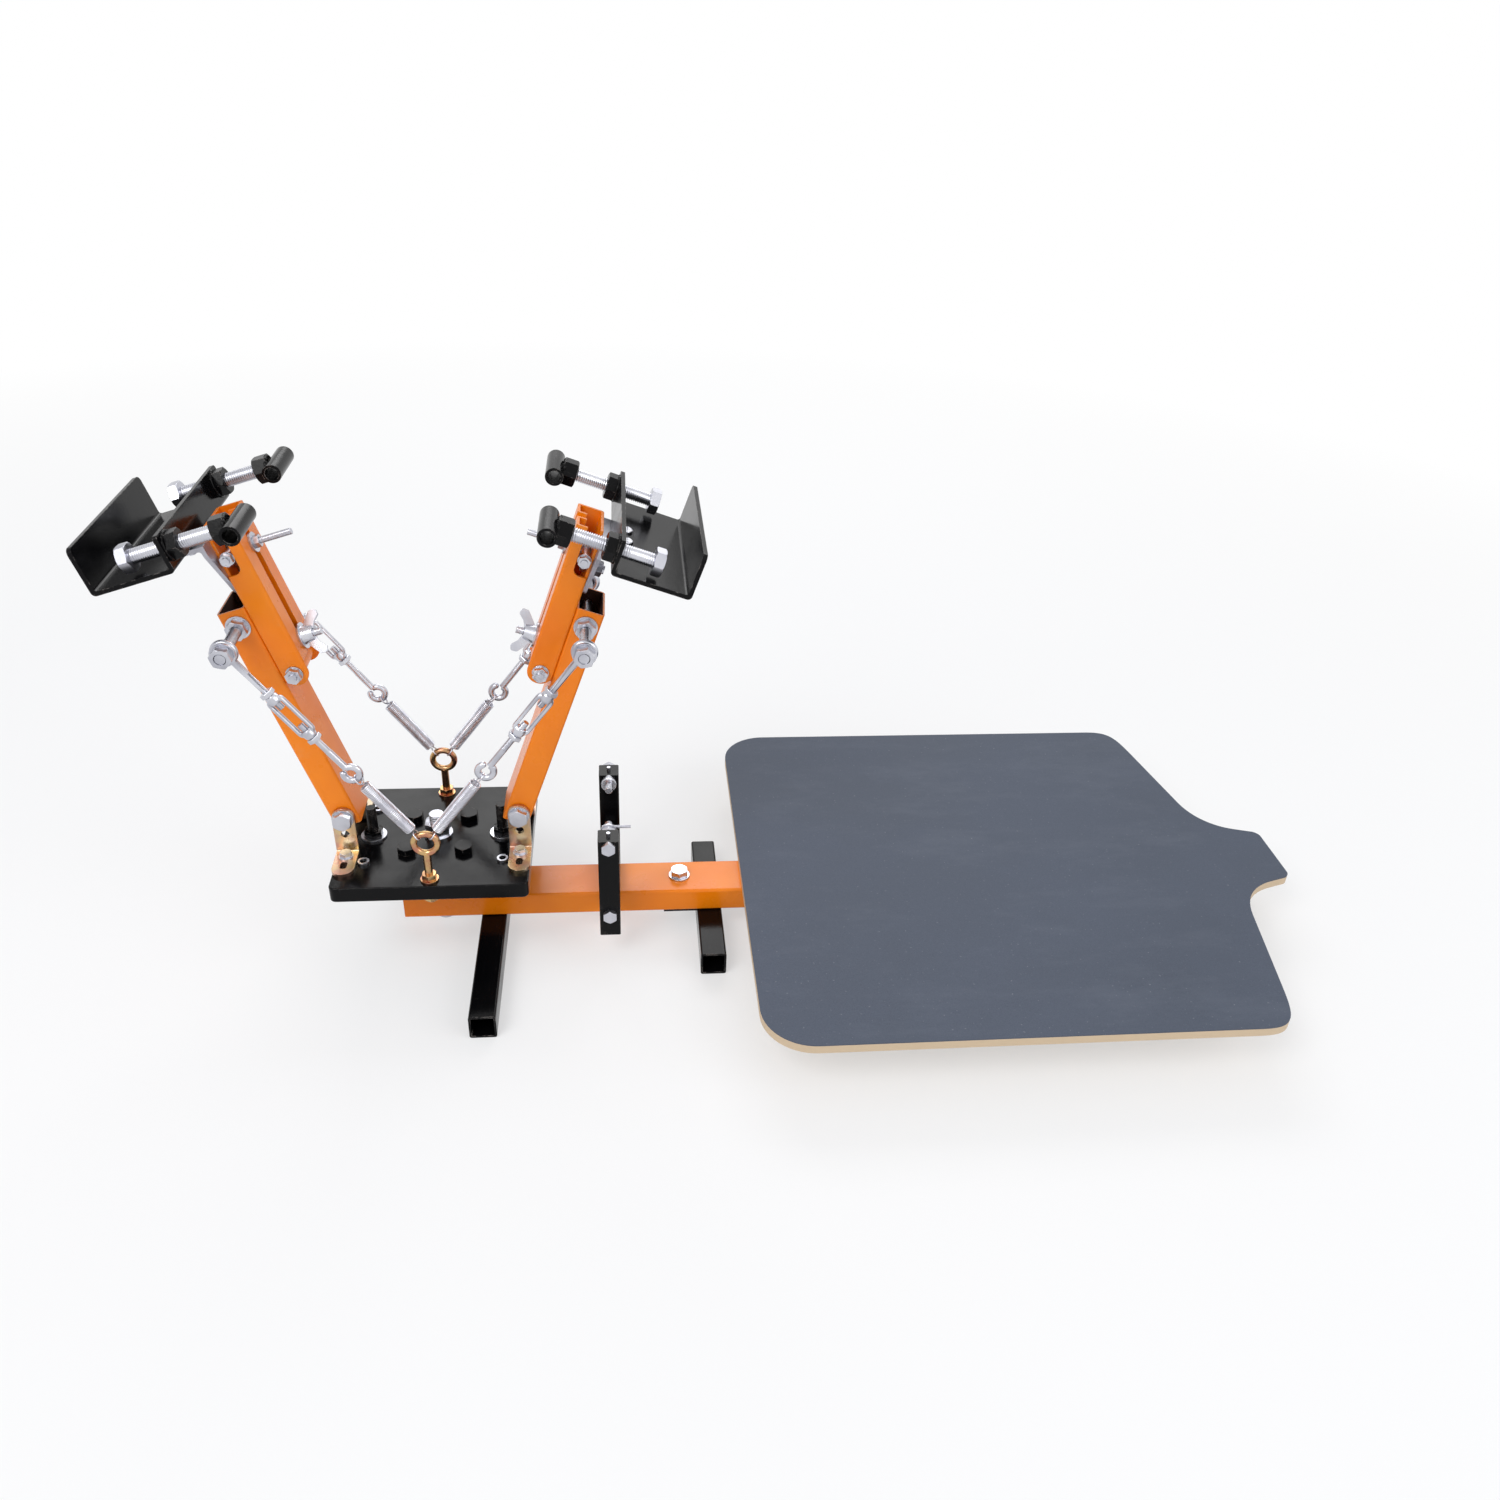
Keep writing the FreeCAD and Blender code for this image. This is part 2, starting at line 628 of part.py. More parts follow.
def bracket(sx, sy):
    """A flat strip bent at a right angle: its upright carries the arm pivot and its foot is on the plate."""
    r = BRACKET_W / 2
    t = BRACKET_T
    upright = block(-r, r, BRACKET_IN, BRACKET_OUT, PLATE_TOP, PIVOT_Z)
    upright = upright.fuse(rod(r, V(0, BRACKET_IN, PIVOT_Z), V(0, BRACKET_OUT, PIVOT_Z)))
    end = BRACKET_OUT + BRACKET_REACH - r
    strip = block(-r, r, BRACKET_IN, end, PLATE_TOP, PLATE_TOP + t)
    strip = strip.fuse(rod(r, V(0, end, PLATE_TOP), V(0, end, PLATE_TOP + t)))
    body = upright.fuse(strip).removeSplitter()
    bend = []
    for e in body.Edges:
        c = e.CenterOfMass
        along_x = abs(e.tangentAt(e.FirstParameter).dot(X_DIR)) > 0.99
        if along_x and abs(c.y - BRACKET_OUT) < 0.01 and abs(c.z - PLATE_TOP - t) < 0.01:
            bend.append(e)
    body = body.makeFillet(BRACKET_BEND_R, bend)
    bend = []
    for e in body.Edges:
        c = e.CenterOfMass
        along_x = abs(e.tangentAt(e.FirstParameter).dot(X_DIR)) > 0.99
        if along_x and abs(c.y - BRACKET_IN) < 0.01 and abs(c.z - PLATE_TOP) < 0.01:
            bend.append(e)
    body = body.makeFillet(BRACKET_BEND_R + t * 0.6, bend)
    through = Y_DIR * (t + 2)
    body = body.cut(rod(PIVOT_R + THREAD_GAP, V(0, BRACKET_IN - 1, PIVOT_Z), V(0, BRACKET_IN - 1, PIVOT_Z) + through))
    at = V(0, BRACKET_IN - 1, BRACKET_HOLE_Z)
    body = body.cut(rod(3.2, at, at + through))
    at = V(0, BRACKET_SCREW_Y, PLATE_TOP - 1)
    body = body.cut(rod(M5_R + BOLT_GAP, at, at + Z_DIR * (t + 2)))
    body = body.cut(slot_cutter(V(0, BRACKET_SLOT_Y, PLATE_TOP + t / 2), Y_DIR, 1.8, 2.6, Z_DIR, t + 2))
    if sy < 0:
        body = body.mirror(V(0, 0, 0), Y_DIR)
    return moved(body, HEAD_X + sx * PIVOT_X, 0, 0)


def brackets(sx):
    return compound([bracket(sx, -1), bracket(sx, 1)])


def pivot_bolts():
    """The arms turn on these bolts: heads in front, lock nuts behind."""
    parts = []
    y1 = BRACKET_OUT + WASHER_T
    for sx in SIGNS:
        x = sx * PIVOT_X
        z = PIVOT_Z
        parts.append(bolt(V(x, -y1, z), V(x, y1 + M8_NUT + 1.5, z), PIVOT_R, M8_AF, M8_HEAD))
        for sy in SIGNS:
            parts.append(ring(8, PIVOT_R + THREAD_GAP, V(x, sy * BRACKET_OUT, z), V(x, sy * y1, z)))
        parts.append(hexagon(M8_AF, V(x, y1, z), V(x, y1 + M8_NUT, z), PIVOT_R + THREAD_GAP))
    return at_head(compound(parts))


def eye_bolt(s):
    """The spring anchor: a ring of wire on a shank through the plate."""
    y = s * EYE_BOLT_Y
    centre = V(0, y, EYE_CENTRE_Z)
    eye = Part.makeTorus(EYE_RING_R, EYE_WIRE_R, centre, Y_DIR)
    shank = rod(EYE_SHANK_R, V(0, y, PLATE_BOTTOM - 7), V(0, y, EYE_CENTRE_Z - EYE_RING_R))
    eye = eye.fuse(shank.cut(rod(EYE_RING_R, V(0, y - 9, EYE_CENTRE_Z), V(0, y + 9, EYE_CENTRE_Z))))
    return at_head(compound([
        eye.removeSplitter(),
        ring(6.8, EYE_SHANK_R + BOLT_GAP, V(0, y, PLATE_TOP), V(0, y, PLATE_TOP + 1.5)),
        hexagon(M6_AF, V(0, y, PLATE_TOP + 1.5), V(0, y, PLATE_TOP + 6), EYE_SHANK_R + THREAD_GAP),
        hexagon(M6_AF, V(0, y, PLATE_BOTTOM - M6_NUT), V(0, y, PLATE_BOTTOM), EYE_SHANK_R + THREAD_GAP),
    ]))


# Arms: local X is w, local Z is u, and the origin is the pivot


def arm_place(shape, side):
    """Puts a piece made in the arm's own directions onto the machine."""
    copy = shape.copy()
    sign = 1
    if side == "left":
        copy = copy.mirror(V(0, 0, 0), X_DIR)
        sign = -1
    copy.rotate(V(0, 0, 0), Y_DIR, sign * LEAN[side])
    copy.translate(V(HEAD_X + sign * PIVOT_X, 0, PIVOT_Z))
    return copy


def arm_tube():
    tube = square_tube(
        -HALF_T, HALF_T, -HALF_W, HALF_W, -ARM_BELOW, ARM_ABOVE, TUBE_WALL, TUBE_CORNER, Z_DIR)
    inside = HALF_W - TUBE_WALL
    bush = rod(ARM_BUSH_R, V(0, -inside, 0), V(0, inside, 0))
    tube = tube.fuse(bush)
    tube = tube.cut(rod(PIVOT_R + RUNNING_GAP, V(0, -HALF_W - 1, 0), V(0, HALF_W + 1, 0)))
    tube = tube.cut(rod(ROD_R + BOLT_GAP, V(0, -HALF_W - 1, ROD_U), V(0, HALF_W + 1, ROD_U)))
    tube = tube.cut(rod(M6_R + BOLT_GAP, V(-HALF_T - 1, 0, WING_U), V(-HALF_T + TUBE_WALL + 1, 0, WING_U)))
    return tube.removeSplitter()


def arm_channel():
    """The upper arm: a lipped channel whose slot faces inward, round at its lower end."""
    w1 = -HALF_T
    w0 = w1 - CHANNEL_DEPTH
    t = CHANNEL_WALL
    ear = CHANNEL_DEPTH / 2
    mid = (w0 + w1) / 2
    u0 = CHANNEL_PIVOT_U - ear
    u1 = CLAMP_U + CHANNEL_ABOVE_CLAMP
    body = block(w0, w1, -HALF_W, HALF_W, u0, u1, TUBE_CORNER, Z_DIR)
    body = body.cut(block(w0 + t, w1 - t, -HALF_W + t, HALF_W - t, u0 - 1, u1 + 1))
    lip = CHANNEL_SLOT / 2
    for s in SIGNS:
        y0, y1 = sorted((s * lip, s * (lip + t)))
        body = body.fuse(block(w0, w0 + CHANNEL_LIP, y0, y1, u0, u1))
    body = body.cut(block(w0 - 1, w0 + CHANNEL_LIP + 1, -lip, lip, u0 - 1, u1 + 1))
    # The lips and the back stop short of the lug, which leaves two round ears
    above_lug = CHANNEL_PIVOT_U + LUG_R + LUG_GAP
    body = body.cut(block(w0 - 1, w1 + 1, -HALF_W + t, HALF_W - t, u0 - 1, above_lug))
    round_end = block(w0, w1, -HALF_W, HALF_W, CHANNEL_PIVOT_U, u1)
    round_end = round_end.fuse(rod(ear, V(mid, -HALF_W, CHANNEL_PIVOT_U), V(mid, HALF_W, CHANNEL_PIVOT_U)))
    body = body.common(round_end)
    n0 = w1 - NOTCH_DEPTH
    notch_u = CLAMP_U - NOTCH_DROP
    notch = block(n0, w1 + 1, -HALF_W - 1, -HALF_W + t + 0.5, notch_u, u1 + 1)
    corner = [e for e in notch.Edges if abs(e.tangentAt(0).dot(Y_DIR)) > 0.99
              and abs(e.CenterOfMass.x - n0) < 0.01 and abs(e.CenterOfMass.z - notch_u) < 0.01]
    notch = notch.makeFillet(NOTCH_R, corner)
    body = body.cut(notch)
    across = Y_DIR * (HALF_W + 1)
    pivot = V(mid, 0, CHANNEL_PIVOT_U)
    body = body.cut(rod(M6_R + BOLT_GAP, pivot - across, pivot + across))
    cross = V(CROSS_W, 0, LEVER_U)
    body = body.cut(rod(M5_R + BOLT_GAP, cross, cross + across))
    body = body.cut(rod(M6_R + BOLT_GAP, V(w1 - t - 1, 0, WING_U), V(w1 + 1, 0, WING_U)))
    slot = V(w1 - t / 2, 0, (CARRIER_BOLT_U + LEVER_U) / 2)
    body = body.cut(slot_cutter(slot, Z_DIR, BACK_SLOT_HALF, BACK_SLOT_R, X_DIR, t + 2))
    return body.removeSplitter()


def lug_block():
    """The lug on the lower arm that the channel's ears are bolted to."""
    w1 = -HALF_T
    mid = w1 - CHANNEL_DEPTH / 2
    half = HALF_W - CHANNEL_WALL - LUG_SIDE_GAP
    r = LUG_R
    across = Y_DIR * half
    pivot = V(mid, 0, CHANNEL_PIVOT_U)
    lug = block(mid, w1, -half, half, CHANNEL_PIVOT_U - r, CHANNEL_PIVOT_U + r)
    lug = lug.fuse(rod(r, pivot - across, pivot + across))
    return lug.cut(rod(M6_R + BOLT_GAP, pivot - across * 1.1, pivot + across * 1.1))


def wing_nut(base, out, spread, r):
    """A nut with two flat wings, seated at base and pointing out."""
    side = out.cross(spread)
    body = Part.makeCone(6.8, 5.2, 7.5, base, out)
    for s in SIGNS:
        direction = spread * s
        outline = [(2.0, 1.0), (6.4, 1.0), (15.5, 8.2), (15.8, 12.8), (11.6, 14.0), (7.4, 9.8), (2.0, 7.5)]
        points = [base + direction * a + out * b - side * 1.1 for a, b in outline]
        wing = Part.Face(Part.makePolygon(points + [points[0]])).extrude(side * 2.2)
        ends = []
        for e in wing.Edges:
            tip = e.CenterOfMass - base
            if abs(e.tangentAt(e.FirstParameter).dot(side)) > 0.99 and tip.dot(out) > 7.8:
                ends.append(e)
        body = body.fuse(wing.makeFillet(1.6, ends))
    return body.cut(rod(r + THREAD_GAP, base - out, base + out * 16)).removeSplitter()


def lever():
    """An eye on the cross bolt with a long shank out through the slot."""
    half = Y_DIR * (LEVER_EYE_T / 2)
    at = V(CROSS_W, 0, LEVER_U)
    eye = rod(LEVER_EYE_R, at - half, at + half)
    eye = eye.fuse(rod(LEVER_R, at, V(LEVER_W, 0, LEVER_U)))
    return eye.cut(rod(M5_R + BOLT_GAP, at - half * 2, at + half * 2)).removeSplitter()


def arm_hardware():
    """The channel's lower bolt, its wing nut in the slot, the lever and its cross bolt, the carrier's bolt."""
    w1 = -HALF_T
    w0 = w1 - CHANNEL_DEPTH
    mid = (w0 + w1) / 2
    u = CHANNEL_PIVOT_U
    out = V(-1, 0, 0)
    y1 = HALF_W + WASHER_T
    parts = [
        bolt(V(mid, y1, u), V(mid, -y1 - M6_NUT - 2, u), M6_R, M6_AF, M6_HEAD),
        hexagon(M6_AF, V(mid, -y1, u), V(mid, -y1 - M6_NUT, u), M6_R + THREAD_GAP),
    ]
    for s in SIGNS:
        parts.append(ring(M6_WASHER_R, M6_R + BOLT_GAP, V(mid, s * HALF_W, u), V(mid, s * y1, u)))
    seat = V(w0 - WASHER_T, 0, WING_U)
    inside = V(w1 + TUBE_WALL, 0, WING_U)
    parts.append(bolt(inside, seat + out * 13, M6_R, M6_AF, M6_HEAD - 1))
    parts.append(ring(WING_WASHER_R, M6_R + BOLT_GAP, V(w0, 0, WING_U), seat))
    parts.append(wing_nut(seat, out, V(0, 0.5, 0.866), M6_R))
    # The cross bolt stands on the rear flange, with sleeves on both sides of the lever's eye
    x, z = CROSS_W, LEVER_U
    inner = HALF_W - CHANNEL_WALL
    washer = inner + WASHER_T * 0.75
    parts.append(bolt(V(x, HALF_W, z), V(x, -washer - M5_NUT - 1.5, z), M5_R, M5_AF, M5_HEAD))
    for s in SIGNS:
        parts.append(ring(CROSS_SLEEVE_R, M5_R + BOLT_GAP, V(x, s * LEVER_EYE_T / 2, z), V(x, s * inner, z)))
    parts.append(ring(CROSS_WASHER_R, M5_R + BOLT_GAP, V(x, -inner, z), V(x, -washer, z)))
    parts.append(hexagon(M5_AF, V(x, -washer, z), V(x, -washer - M5_NUT, z), M5_R + THREAD_GAP))
    parts.append(lever())
    face = V(w0, 0, LEVER_U)
    seat = face + out * WASHER_T
    parts.append(ring(M6_WASHER_R + 1, LEVER_R + BOLT_GAP, face, seat))
    parts.append(hexagon(M5_AF, seat, seat + out * M5_NUT, LEVER_R + THREAD_GAP))
    # The carrier's bolt has its head in the channel and its nut outside
    u = CARRIER_BOLT_U
    leg = w1 + CARRIER_T
    nut = leg + WASHER_T
    parts.append(bolt(V(w1 - CHANNEL_WALL, 0, u), V(nut + M6_NUT + 1.5, 0, u), M6_R, M6_AF, M6_HEAD - 0.5))
    parts.append(ring(M6_WASHER_R, M6_R + BOLT_GAP, V(leg, 0, u), V(nut, 0, u)))
    parts.append(hexagon(M6_AF, V(nut, 0, u), V(nut + M6_NUT, 0, u), M6_R + THREAD_GAP))
    return compound(parts)


def clamp_carrier():
    """An angle bracket on the channel's back: its tapered leg is bolted there, its foot carries the clamp."""
    w1 = -HALF_T
    t = CARRIER_T
    h = CARRIER_HALF
    side_u = CLAMP_U - CARRIER_SIDE
    tip_u = CLAMP_U - CARRIER_LEG
    tip = CARRIER_TIP_HALF
    outline = [(-h, CLAMP_U), (-h, side_u), (-tip, tip_u), (tip, tip_u), (h, side_u), (h, CLAMP_U)]
    points = [V(w1, y, u) for y, u in outline]
    leg = Part.Face(Part.makePolygon(points + [points[0]])).extrude(X_DIR * t)
    foot_plate = block(w1, w1 + CARRIER_FOOT_W, -h, h, CLAMP_U - t, CLAMP_U)
    body = leg.fuse(foot_plate).removeSplitter()
    ends = [e for e in body.Edges if abs(e.tangentAt(e.FirstParameter).dot(X_DIR)) > 0.99
            and e.CenterOfMass.z < side_u + 0.01]
    body = body.makeFillet(CARRIER_CORNER, ends)
    inner = [e for e in body.Edges if abs(e.tangentAt(e.FirstParameter).dot(Y_DIR)) > 0.99
             and abs(e.CenterOfMass.x - w1 - t) < 0.01 and abs(e.CenterOfMass.z - CLAMP_U + t) < 0.01]
    body = body.makeFillet(CLAMP_BEND_R, inner)
    body = body.cut(rod(M6_R + BOLT_GAP, V(w1 - 1, 0, CARRIER_BOLT_U), V(w1 + t + 1, 0, CARRIER_BOLT_U)))
    for s in SIGNS:
        at = V(w1 + CLAMP_BOLT_W, s * CLAMP_BOLT_Y, CLAMP_U)
        body = body.cut(rod(M5_R + BOLT_GAP, at - Z_DIR * (t + 1), at + Z_DIR))
    return body


def clamp_channel():
    """The screen clamp: a bent plate with a ledge below and a jaw above that holds the screws' nuts."""
    t = CLAMP_T
    h = CLAMP_HALF
    jaw_w = -t
    ledge_w = CLAMP_THROAT
    web = block(jaw_w, ledge_w + t, -h, h, CLAMP_U, CLAMP_U + t)
    jaw = block(jaw_w, 0, -h, h, CLAMP_U, CLAMP_U + t + JAW_REACH)
    ledge = block(ledge_w, ledge_w + t, -h, h, CLAMP_U, CLAMP_U + t + LEDGE_REACH)
    body = web.fuse(jaw).fuse(ledge).removeSplitter()
    for w, u, r in (
            (0, CLAMP_U + t, CLAMP_BEND_R), (ledge_w, CLAMP_U + t, CLAMP_BEND_R),
            (jaw_w, CLAMP_U, CLAMP_BEND_R + 1), (ledge_w + t, CLAMP_U, CLAMP_BEND_R + 1)):
        edges = [e for e in body.Edges if abs(e.tangentAt(e.FirstParameter).dot(Y_DIR)) > 0.99
                 and abs(e.CenterOfMass.x - w) < 0.01 and abs(e.CenterOfMass.z - u) < 0.01]
        body = body.makeFillet(r, edges)
    for w, reach, r in ((jaw_w + t / 2, JAW_REACH, JAW_CORNER), (ledge_w + t / 2, LEDGE_REACH, LEDGE_CORNER)):
        corners = [e for e in body.Edges if abs(e.tangentAt(e.FirstParameter).dot(X_DIR)) > 0.99
                   and abs(e.CenterOfMass.x - w) < 0.01 and abs(e.CenterOfMass.z - CLAMP_U - t - reach) < 0.01]
        body = body.makeFillet(r, corners)
    for s in SIGNS:
        y = s * SCREW_Y
        nut_end = jaw_w - JAW_NUT_H
        body = body.fuse(hexagon(SCREW_AF, V(jaw_w, y, SCREW_U), V(nut_end, y, SCREW_U)))
        body = body.cut(rod(SCREW_R + RUNNING_GAP, V(nut_end - 1, y, SCREW_U), V(1, y, SCREW_U)))
        at = V(-HALF_T + CLAMP_BOLT_W, s * CLAMP_BOLT_Y, CLAMP_U)
        body = body.cut(rod(M5_R + BOLT_GAP, at - Z_DIR, at + Z_DIR * (t + 1)))
    return body.removeSplitter()


def clamp_bolts():
    """Round-headed screws through the clamp's back into the carrier's foot."""
    parts = []
    for s in SIGNS:
        at = V(-HALF_T + CLAMP_BOLT_W, s * CLAMP_BOLT_Y, CLAMP_U + CLAMP_T)
        top = CLAMP_BOLT_HEAD_H
        head = rod(CLAMP_BOLT_HEAD_R, at, at + Z_DIR * top)
        rim = [e for e in head.Edges if e.CenterOfMass.z > at.z + top - 0.1 and e.isClosed()]
        head = head.makeFillet(top * 0.65, rim)
        head = head.cut(block(at.x - 0.7, at.x + 0.7, at.y - 6, at.y + 6, at.z + top - 1, at.z + top + 1))
        low = CLAMP_U - CARRIER_T
        shank = rod(M5_R, at, V(at.x, at.y, low - M5_NUT - 2))
        parts.append(head.fuse(shank).removeSplitter())
        nut = V(at.x, at.y, low)
        parts.append(hexagon(M5_AF, nut - Z_DIR * M5_NUT, nut, M5_R + THREAD_GAP))
    return compound(parts)


def spring_rod():
    """A threaded rod across the arm: its ends carry the spring lines."""
    eye_out = EYE_BOLT_Y + LINE_WIRE_R + LINE_EYE_GAP
    nut_out = eye_out + WASHER_T + M8_NUT
    end = nut_out - 0.8
    parts = [rod(ROD_R, V(0, -end, ROD_U), V(0, end, ROD_U))]
    for s in SIGNS:
        for y in (HALF_W, eye_out):
            seat = y + WASHER_T
            parts.append(ring(M8_WASHER_R, ROD_R + THREAD_GAP, V(0, s * y, ROD_U), V(0, s * seat, ROD_U)))
            nut = V(0, s * (seat + M8_NUT), ROD_U)
            parts.append(hexagon(M8_AF, V(0, s * seat, ROD_U), nut, ROD_R + THREAD_GAP))
    return compound(parts)


def clamp_screw(s):
    """A full-thread screw whose hexagon head presses the screen frame onto the ledge."""
    y = s * SCREW_Y
    tip = V(SCREW_TIP_W, y, SCREW_U)
    seat = V(SCREW_TIP_W - SCREW_HEAD_H, y, SCREW_U)
    end = V(SCREW_END_W, y, SCREW_U)
    return rod(SCREW_R, seat, end).fuse(hexagon(SCREW_AF, seat, tip)).removeSplitter()


def clamp_handle(s):
    """The cross handle: a short tube welded to a nut on the screw's end."""
    y = s * SCREW_Y
    w = SCREW_HANDLE_W
    half = HANDLE_LEN / 2
    tube = ring(HANDLE_R, HANDLE_BORE_R, V(w, y - half, SCREW_U), V(w, y + half, SCREW_U))
    bore = rod(HANDLE_BORE_R, V(w, y - half, SCREW_U), V(w, y + half, SCREW_U))
    near = w + HANDLE_R - HANDLE_NUT_SINK
    far = w + HANDLE_R + HANDLE_NUT_H
    nut = hexagon(SCREW_AF, V(near, y, SCREW_U), V(far, y, SCREW_U))
    body = tube.fuse(nut.cut(bore))
    body = body.cut(rod(SCREW_R + THREAD_GAP, V(SCREW_END_W, y, SCREW_U), V(far + 1, y, SCREW_U)))
    return body.removeSplitter()


# Spring lines


def line_frame(side):
    """Where a side's spring lines start, which way they run and how long they are."""
    sign = -1 if side == "left" else 1
    lean = math.radians(LEAN[side])
    start = V(HEAD_X + sign * (PIVOT_X + ROD_U * math.sin(lean)), 0, PIVOT_Z + ROD_U * math.cos(lean))
    end = V(HEAD_X, 0, EYE_CENTRE_Z)
    return start, (end - start).normalize(), (end - start).Length


def line_place(shape, side, s):
    """Local X runs down the line from the rod, and local Y stays across the machine."""
    start, direction, _ = line_frame(side)
    copy = shape.copy()
    third = direction.cross(Y_DIR)
    m = FreeCAD.Matrix(
        direction.x, 0, third.x, start.x,
        direction.y, 1, third.y, s * EYE_BOLT_Y,
        direction.z, 0, third.z, start.z,
        0, 0, 0, 1,
    )
    copy.Placement = FreeCAD.Placement(m).multiply(copy.Placement)
    return copy


def turnbuckle(side, s):
    """An eye on the rod, an open frame with lock nuts, and a hook for the spring."""
    wire = LINE_WIRE_R
    eye_r = ROD_R + LINE_EYE_GAP + wire
    eye = Part.makeTorus(eye_r, wire, V(0, 0, 0), Y_DIR)
    frame_end = FRAME_START + FRAME_LEN
    shank = rod(wire, V(eye_r, 0, 0), V(FRAME_START + FRAME_BOSS + FRAME_THREAD, 0, 0))
    clear = rod(eye_r, V(0, -9, 0), V(0, 9, 0))
    eye = eye.fuse(shank.cut(clear)).removeSplitter()
    half = FRAME_W / 2
    depth = FRAME_T / 2
    frame = block(FRAME_START, frame_end, -depth, depth, -half, half, 2.0, X_DIR)
    window = block(
        FRAME_START + FRAME_BOSS, frame_end - FRAME_BOSS, -depth - 1, depth + 1,
        -half + FRAME_RAIL, half - FRAME_RAIL, 1.5, Y_DIR)
    frame = frame.cut(window)
    frame = frame.cut(rod(wire + THREAD_GAP, V(FRAME_START - 1, 0, 0), V(frame_end + 1, 0, 0)))
    neck = HOOK_S - HOOK_R
    tail = rod(wire, V(frame_end - FRAME_BOSS - FRAME_THREAD, 0, 0), V(neck, 0, 0))
    turn = torus_arc(V(HOOK_S, 0, 0), Y_DIR, V(-1, 0, 0), HOOK_R, wire, 360 - HOOK_GAP_DEG)
    tip = V(HOOK_S, 0, 0) + FreeCAD.Rotation(Y_DIR, 360 - HOOK_GAP_DEG).multVec(V(-HOOK_R, 0, 0))
    keep = rod(HOOK_R, V(HOOK_S, -9, 0), V(HOOK_S, 9, 0))
    hook = turn.fuse(tail.cut(keep)).fuse(Part.makeSphere(wire, tip)).removeSplitter()
    parts = [
        eye,
        frame,
        hook,
        hexagon(LOCK_NUT_AF, V(FRAME_START - LOCK_NUT_H, 0, 0), V(FRAME_START, 0, 0), wire + THREAD_GAP),
        hexagon(LOCK_NUT_AF, V(frame_end, 0, 0), V(frame_end + LOCK_NUT_H, 0, 0), wire + THREAD_GAP),
    ]
    return line_place(compound(parts), side, s)


def spring_ends(side):
    """Along the line: where the coil ends, and where its lower loop is centred on the eye bolt's ring."""
    length = line_frame(side)[2]
    loop_s = length - EYE_RING_R
    return length - SPRING_TAIL, loop_s


def spring(side, s):
    """The coil as a plain sleeve, with the loop that hangs on the turnbuckle's hook."""
    wire = SPRING_WIRE_R
    s1 = spring_ends(side)[0]
    coil = ring(SPRING_R, SPRING_R - 2 * wire, V(SPRING_START, 0, 0), V(s1, 0, 0))
    loop_r = LINE_WIRE_R + LOOP_GAP + wire
    at = V(HOOK_S + HOOK_R, 0, 0)
    loop = torus_arc(at, Z_DIR, V(1, 0, 0), loop_r, wire, 330)
    cap_end = V(SPRING_START + SPRING_CAP, 0, 0)
    link = rod(wire, V(at.x + loop_r, 0, 0), cap_end)
    cap = rod(SPRING_R - 2 * wire, V(SPRING_START, 0, 0), cap_end)
    body = coil.fuse(cap).fuse(loop).fuse(link).removeSplitter()
    return line_place(body, side, s)


def spring_loop(side, s):
    """The spring's lower loop, which hangs on the eye bolt and slides down the line as the coil opens."""
    wire = SPRING_WIRE_R
    s1, loop_s = spring_ends(side)
    loop_r = EYE_WIRE_R + LOOP_GAP + wire
    loop = torus_arc(V(loop_s, 0, 0), Z_DIR, V(-1, 0, 0), loop_r, wire, 330)
    cap_end = V(s1 + SPRING_CAP, 0, 0)
    link = rod(wire, cap_end, V(loop_s - loop_r, 0, 0))
    cap = rod(SPRING_R, V(s1, 0, 0), cap_end)
    return line_place(loop.fuse(link).fuse(cap).removeSplitter(), side, s)


board, laminate = platen()
nodes = {
    "beam": beam(),
    "left_foot": foot(0.0, LEFT_FOOT_LEN),
    "right_foot": right_foot(),
    "beam_bolt": beam_bolt(),
    "platen_board": board,
    "platen_laminate": laminate,
    "platen_bolts": platen_bolts(),
    "centre_bolt": centre_bolt(),
    "thrust_washer": thrust_washer(),
    "gate_yoke": gate_yoke(),
    "gate_screws": gate_screws(),
    "head_plate": head_plate(),
    "hub": hub(),
    "hub_bolts": hub_bolts(),
    "stop_bolts": stop_bolts(),
    "plate_hardware": plate_hardware(),
    "left_brackets": brackets(-1),
    "right_brackets": brackets(1),
    "pivot_bolts": pivot_bolts(),
    "front_eye_bolt": eye_bolt(-1),
    "rear_eye_bolt": eye_bolt(1),
}
arm_parts = {
    "arm_tube": arm_tube().fuse(lug_block()).removeSplitter(),
    "arm_channel": arm_channel(),
    "arm_hardware": arm_hardware(),
    "clamp_carrier": clamp_carrier(),
    "clamp_channel": clamp_channel(),
    "clamp_bolts": clamp_bolts(),
    "spring_rod": spring_rod(),
    "front_clamp_screw": clamp_screw(-1),
    "front_clamp_handle": clamp_handle(-1),
    "rear_clamp_screw": clamp_screw(1),
    "rear_clamp_handle": clamp_handle(1),
}
for side in ("left", "right"):
    for name, shape in arm_parts.items():
        nodes[side + "_" + name] = arm_place(shape, side)
    for end, s in (("front", -1), ("rear", 1)):
        nodes[side + "_" + end + "_turnbuckle"] = turnbuckle(side, s)
        nodes[side + "_" + end + "_spring"] = spring(side, s)
    nodes[side + "_spring_loops"] = compound([spring_loop(side, -1), spring_loop(side, 1)])

os.makedirs("parts", exist_ok=True)
for name, shape in nodes.items():
    shape.exportStep("parts/" + name + ".step")
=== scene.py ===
"""Dresses the screen printing machine: paint, plating, wound springs, cut threads, welds and a studio.

The frame is in metres. The part's sizes are named here in millimetres, as in its source, and MM turns
them into metres. Lengths inside the materials, the studio and the camera are in metres.
"""
import json
import math

import bmesh
import bpy
from mathutils import Matrix, Vector


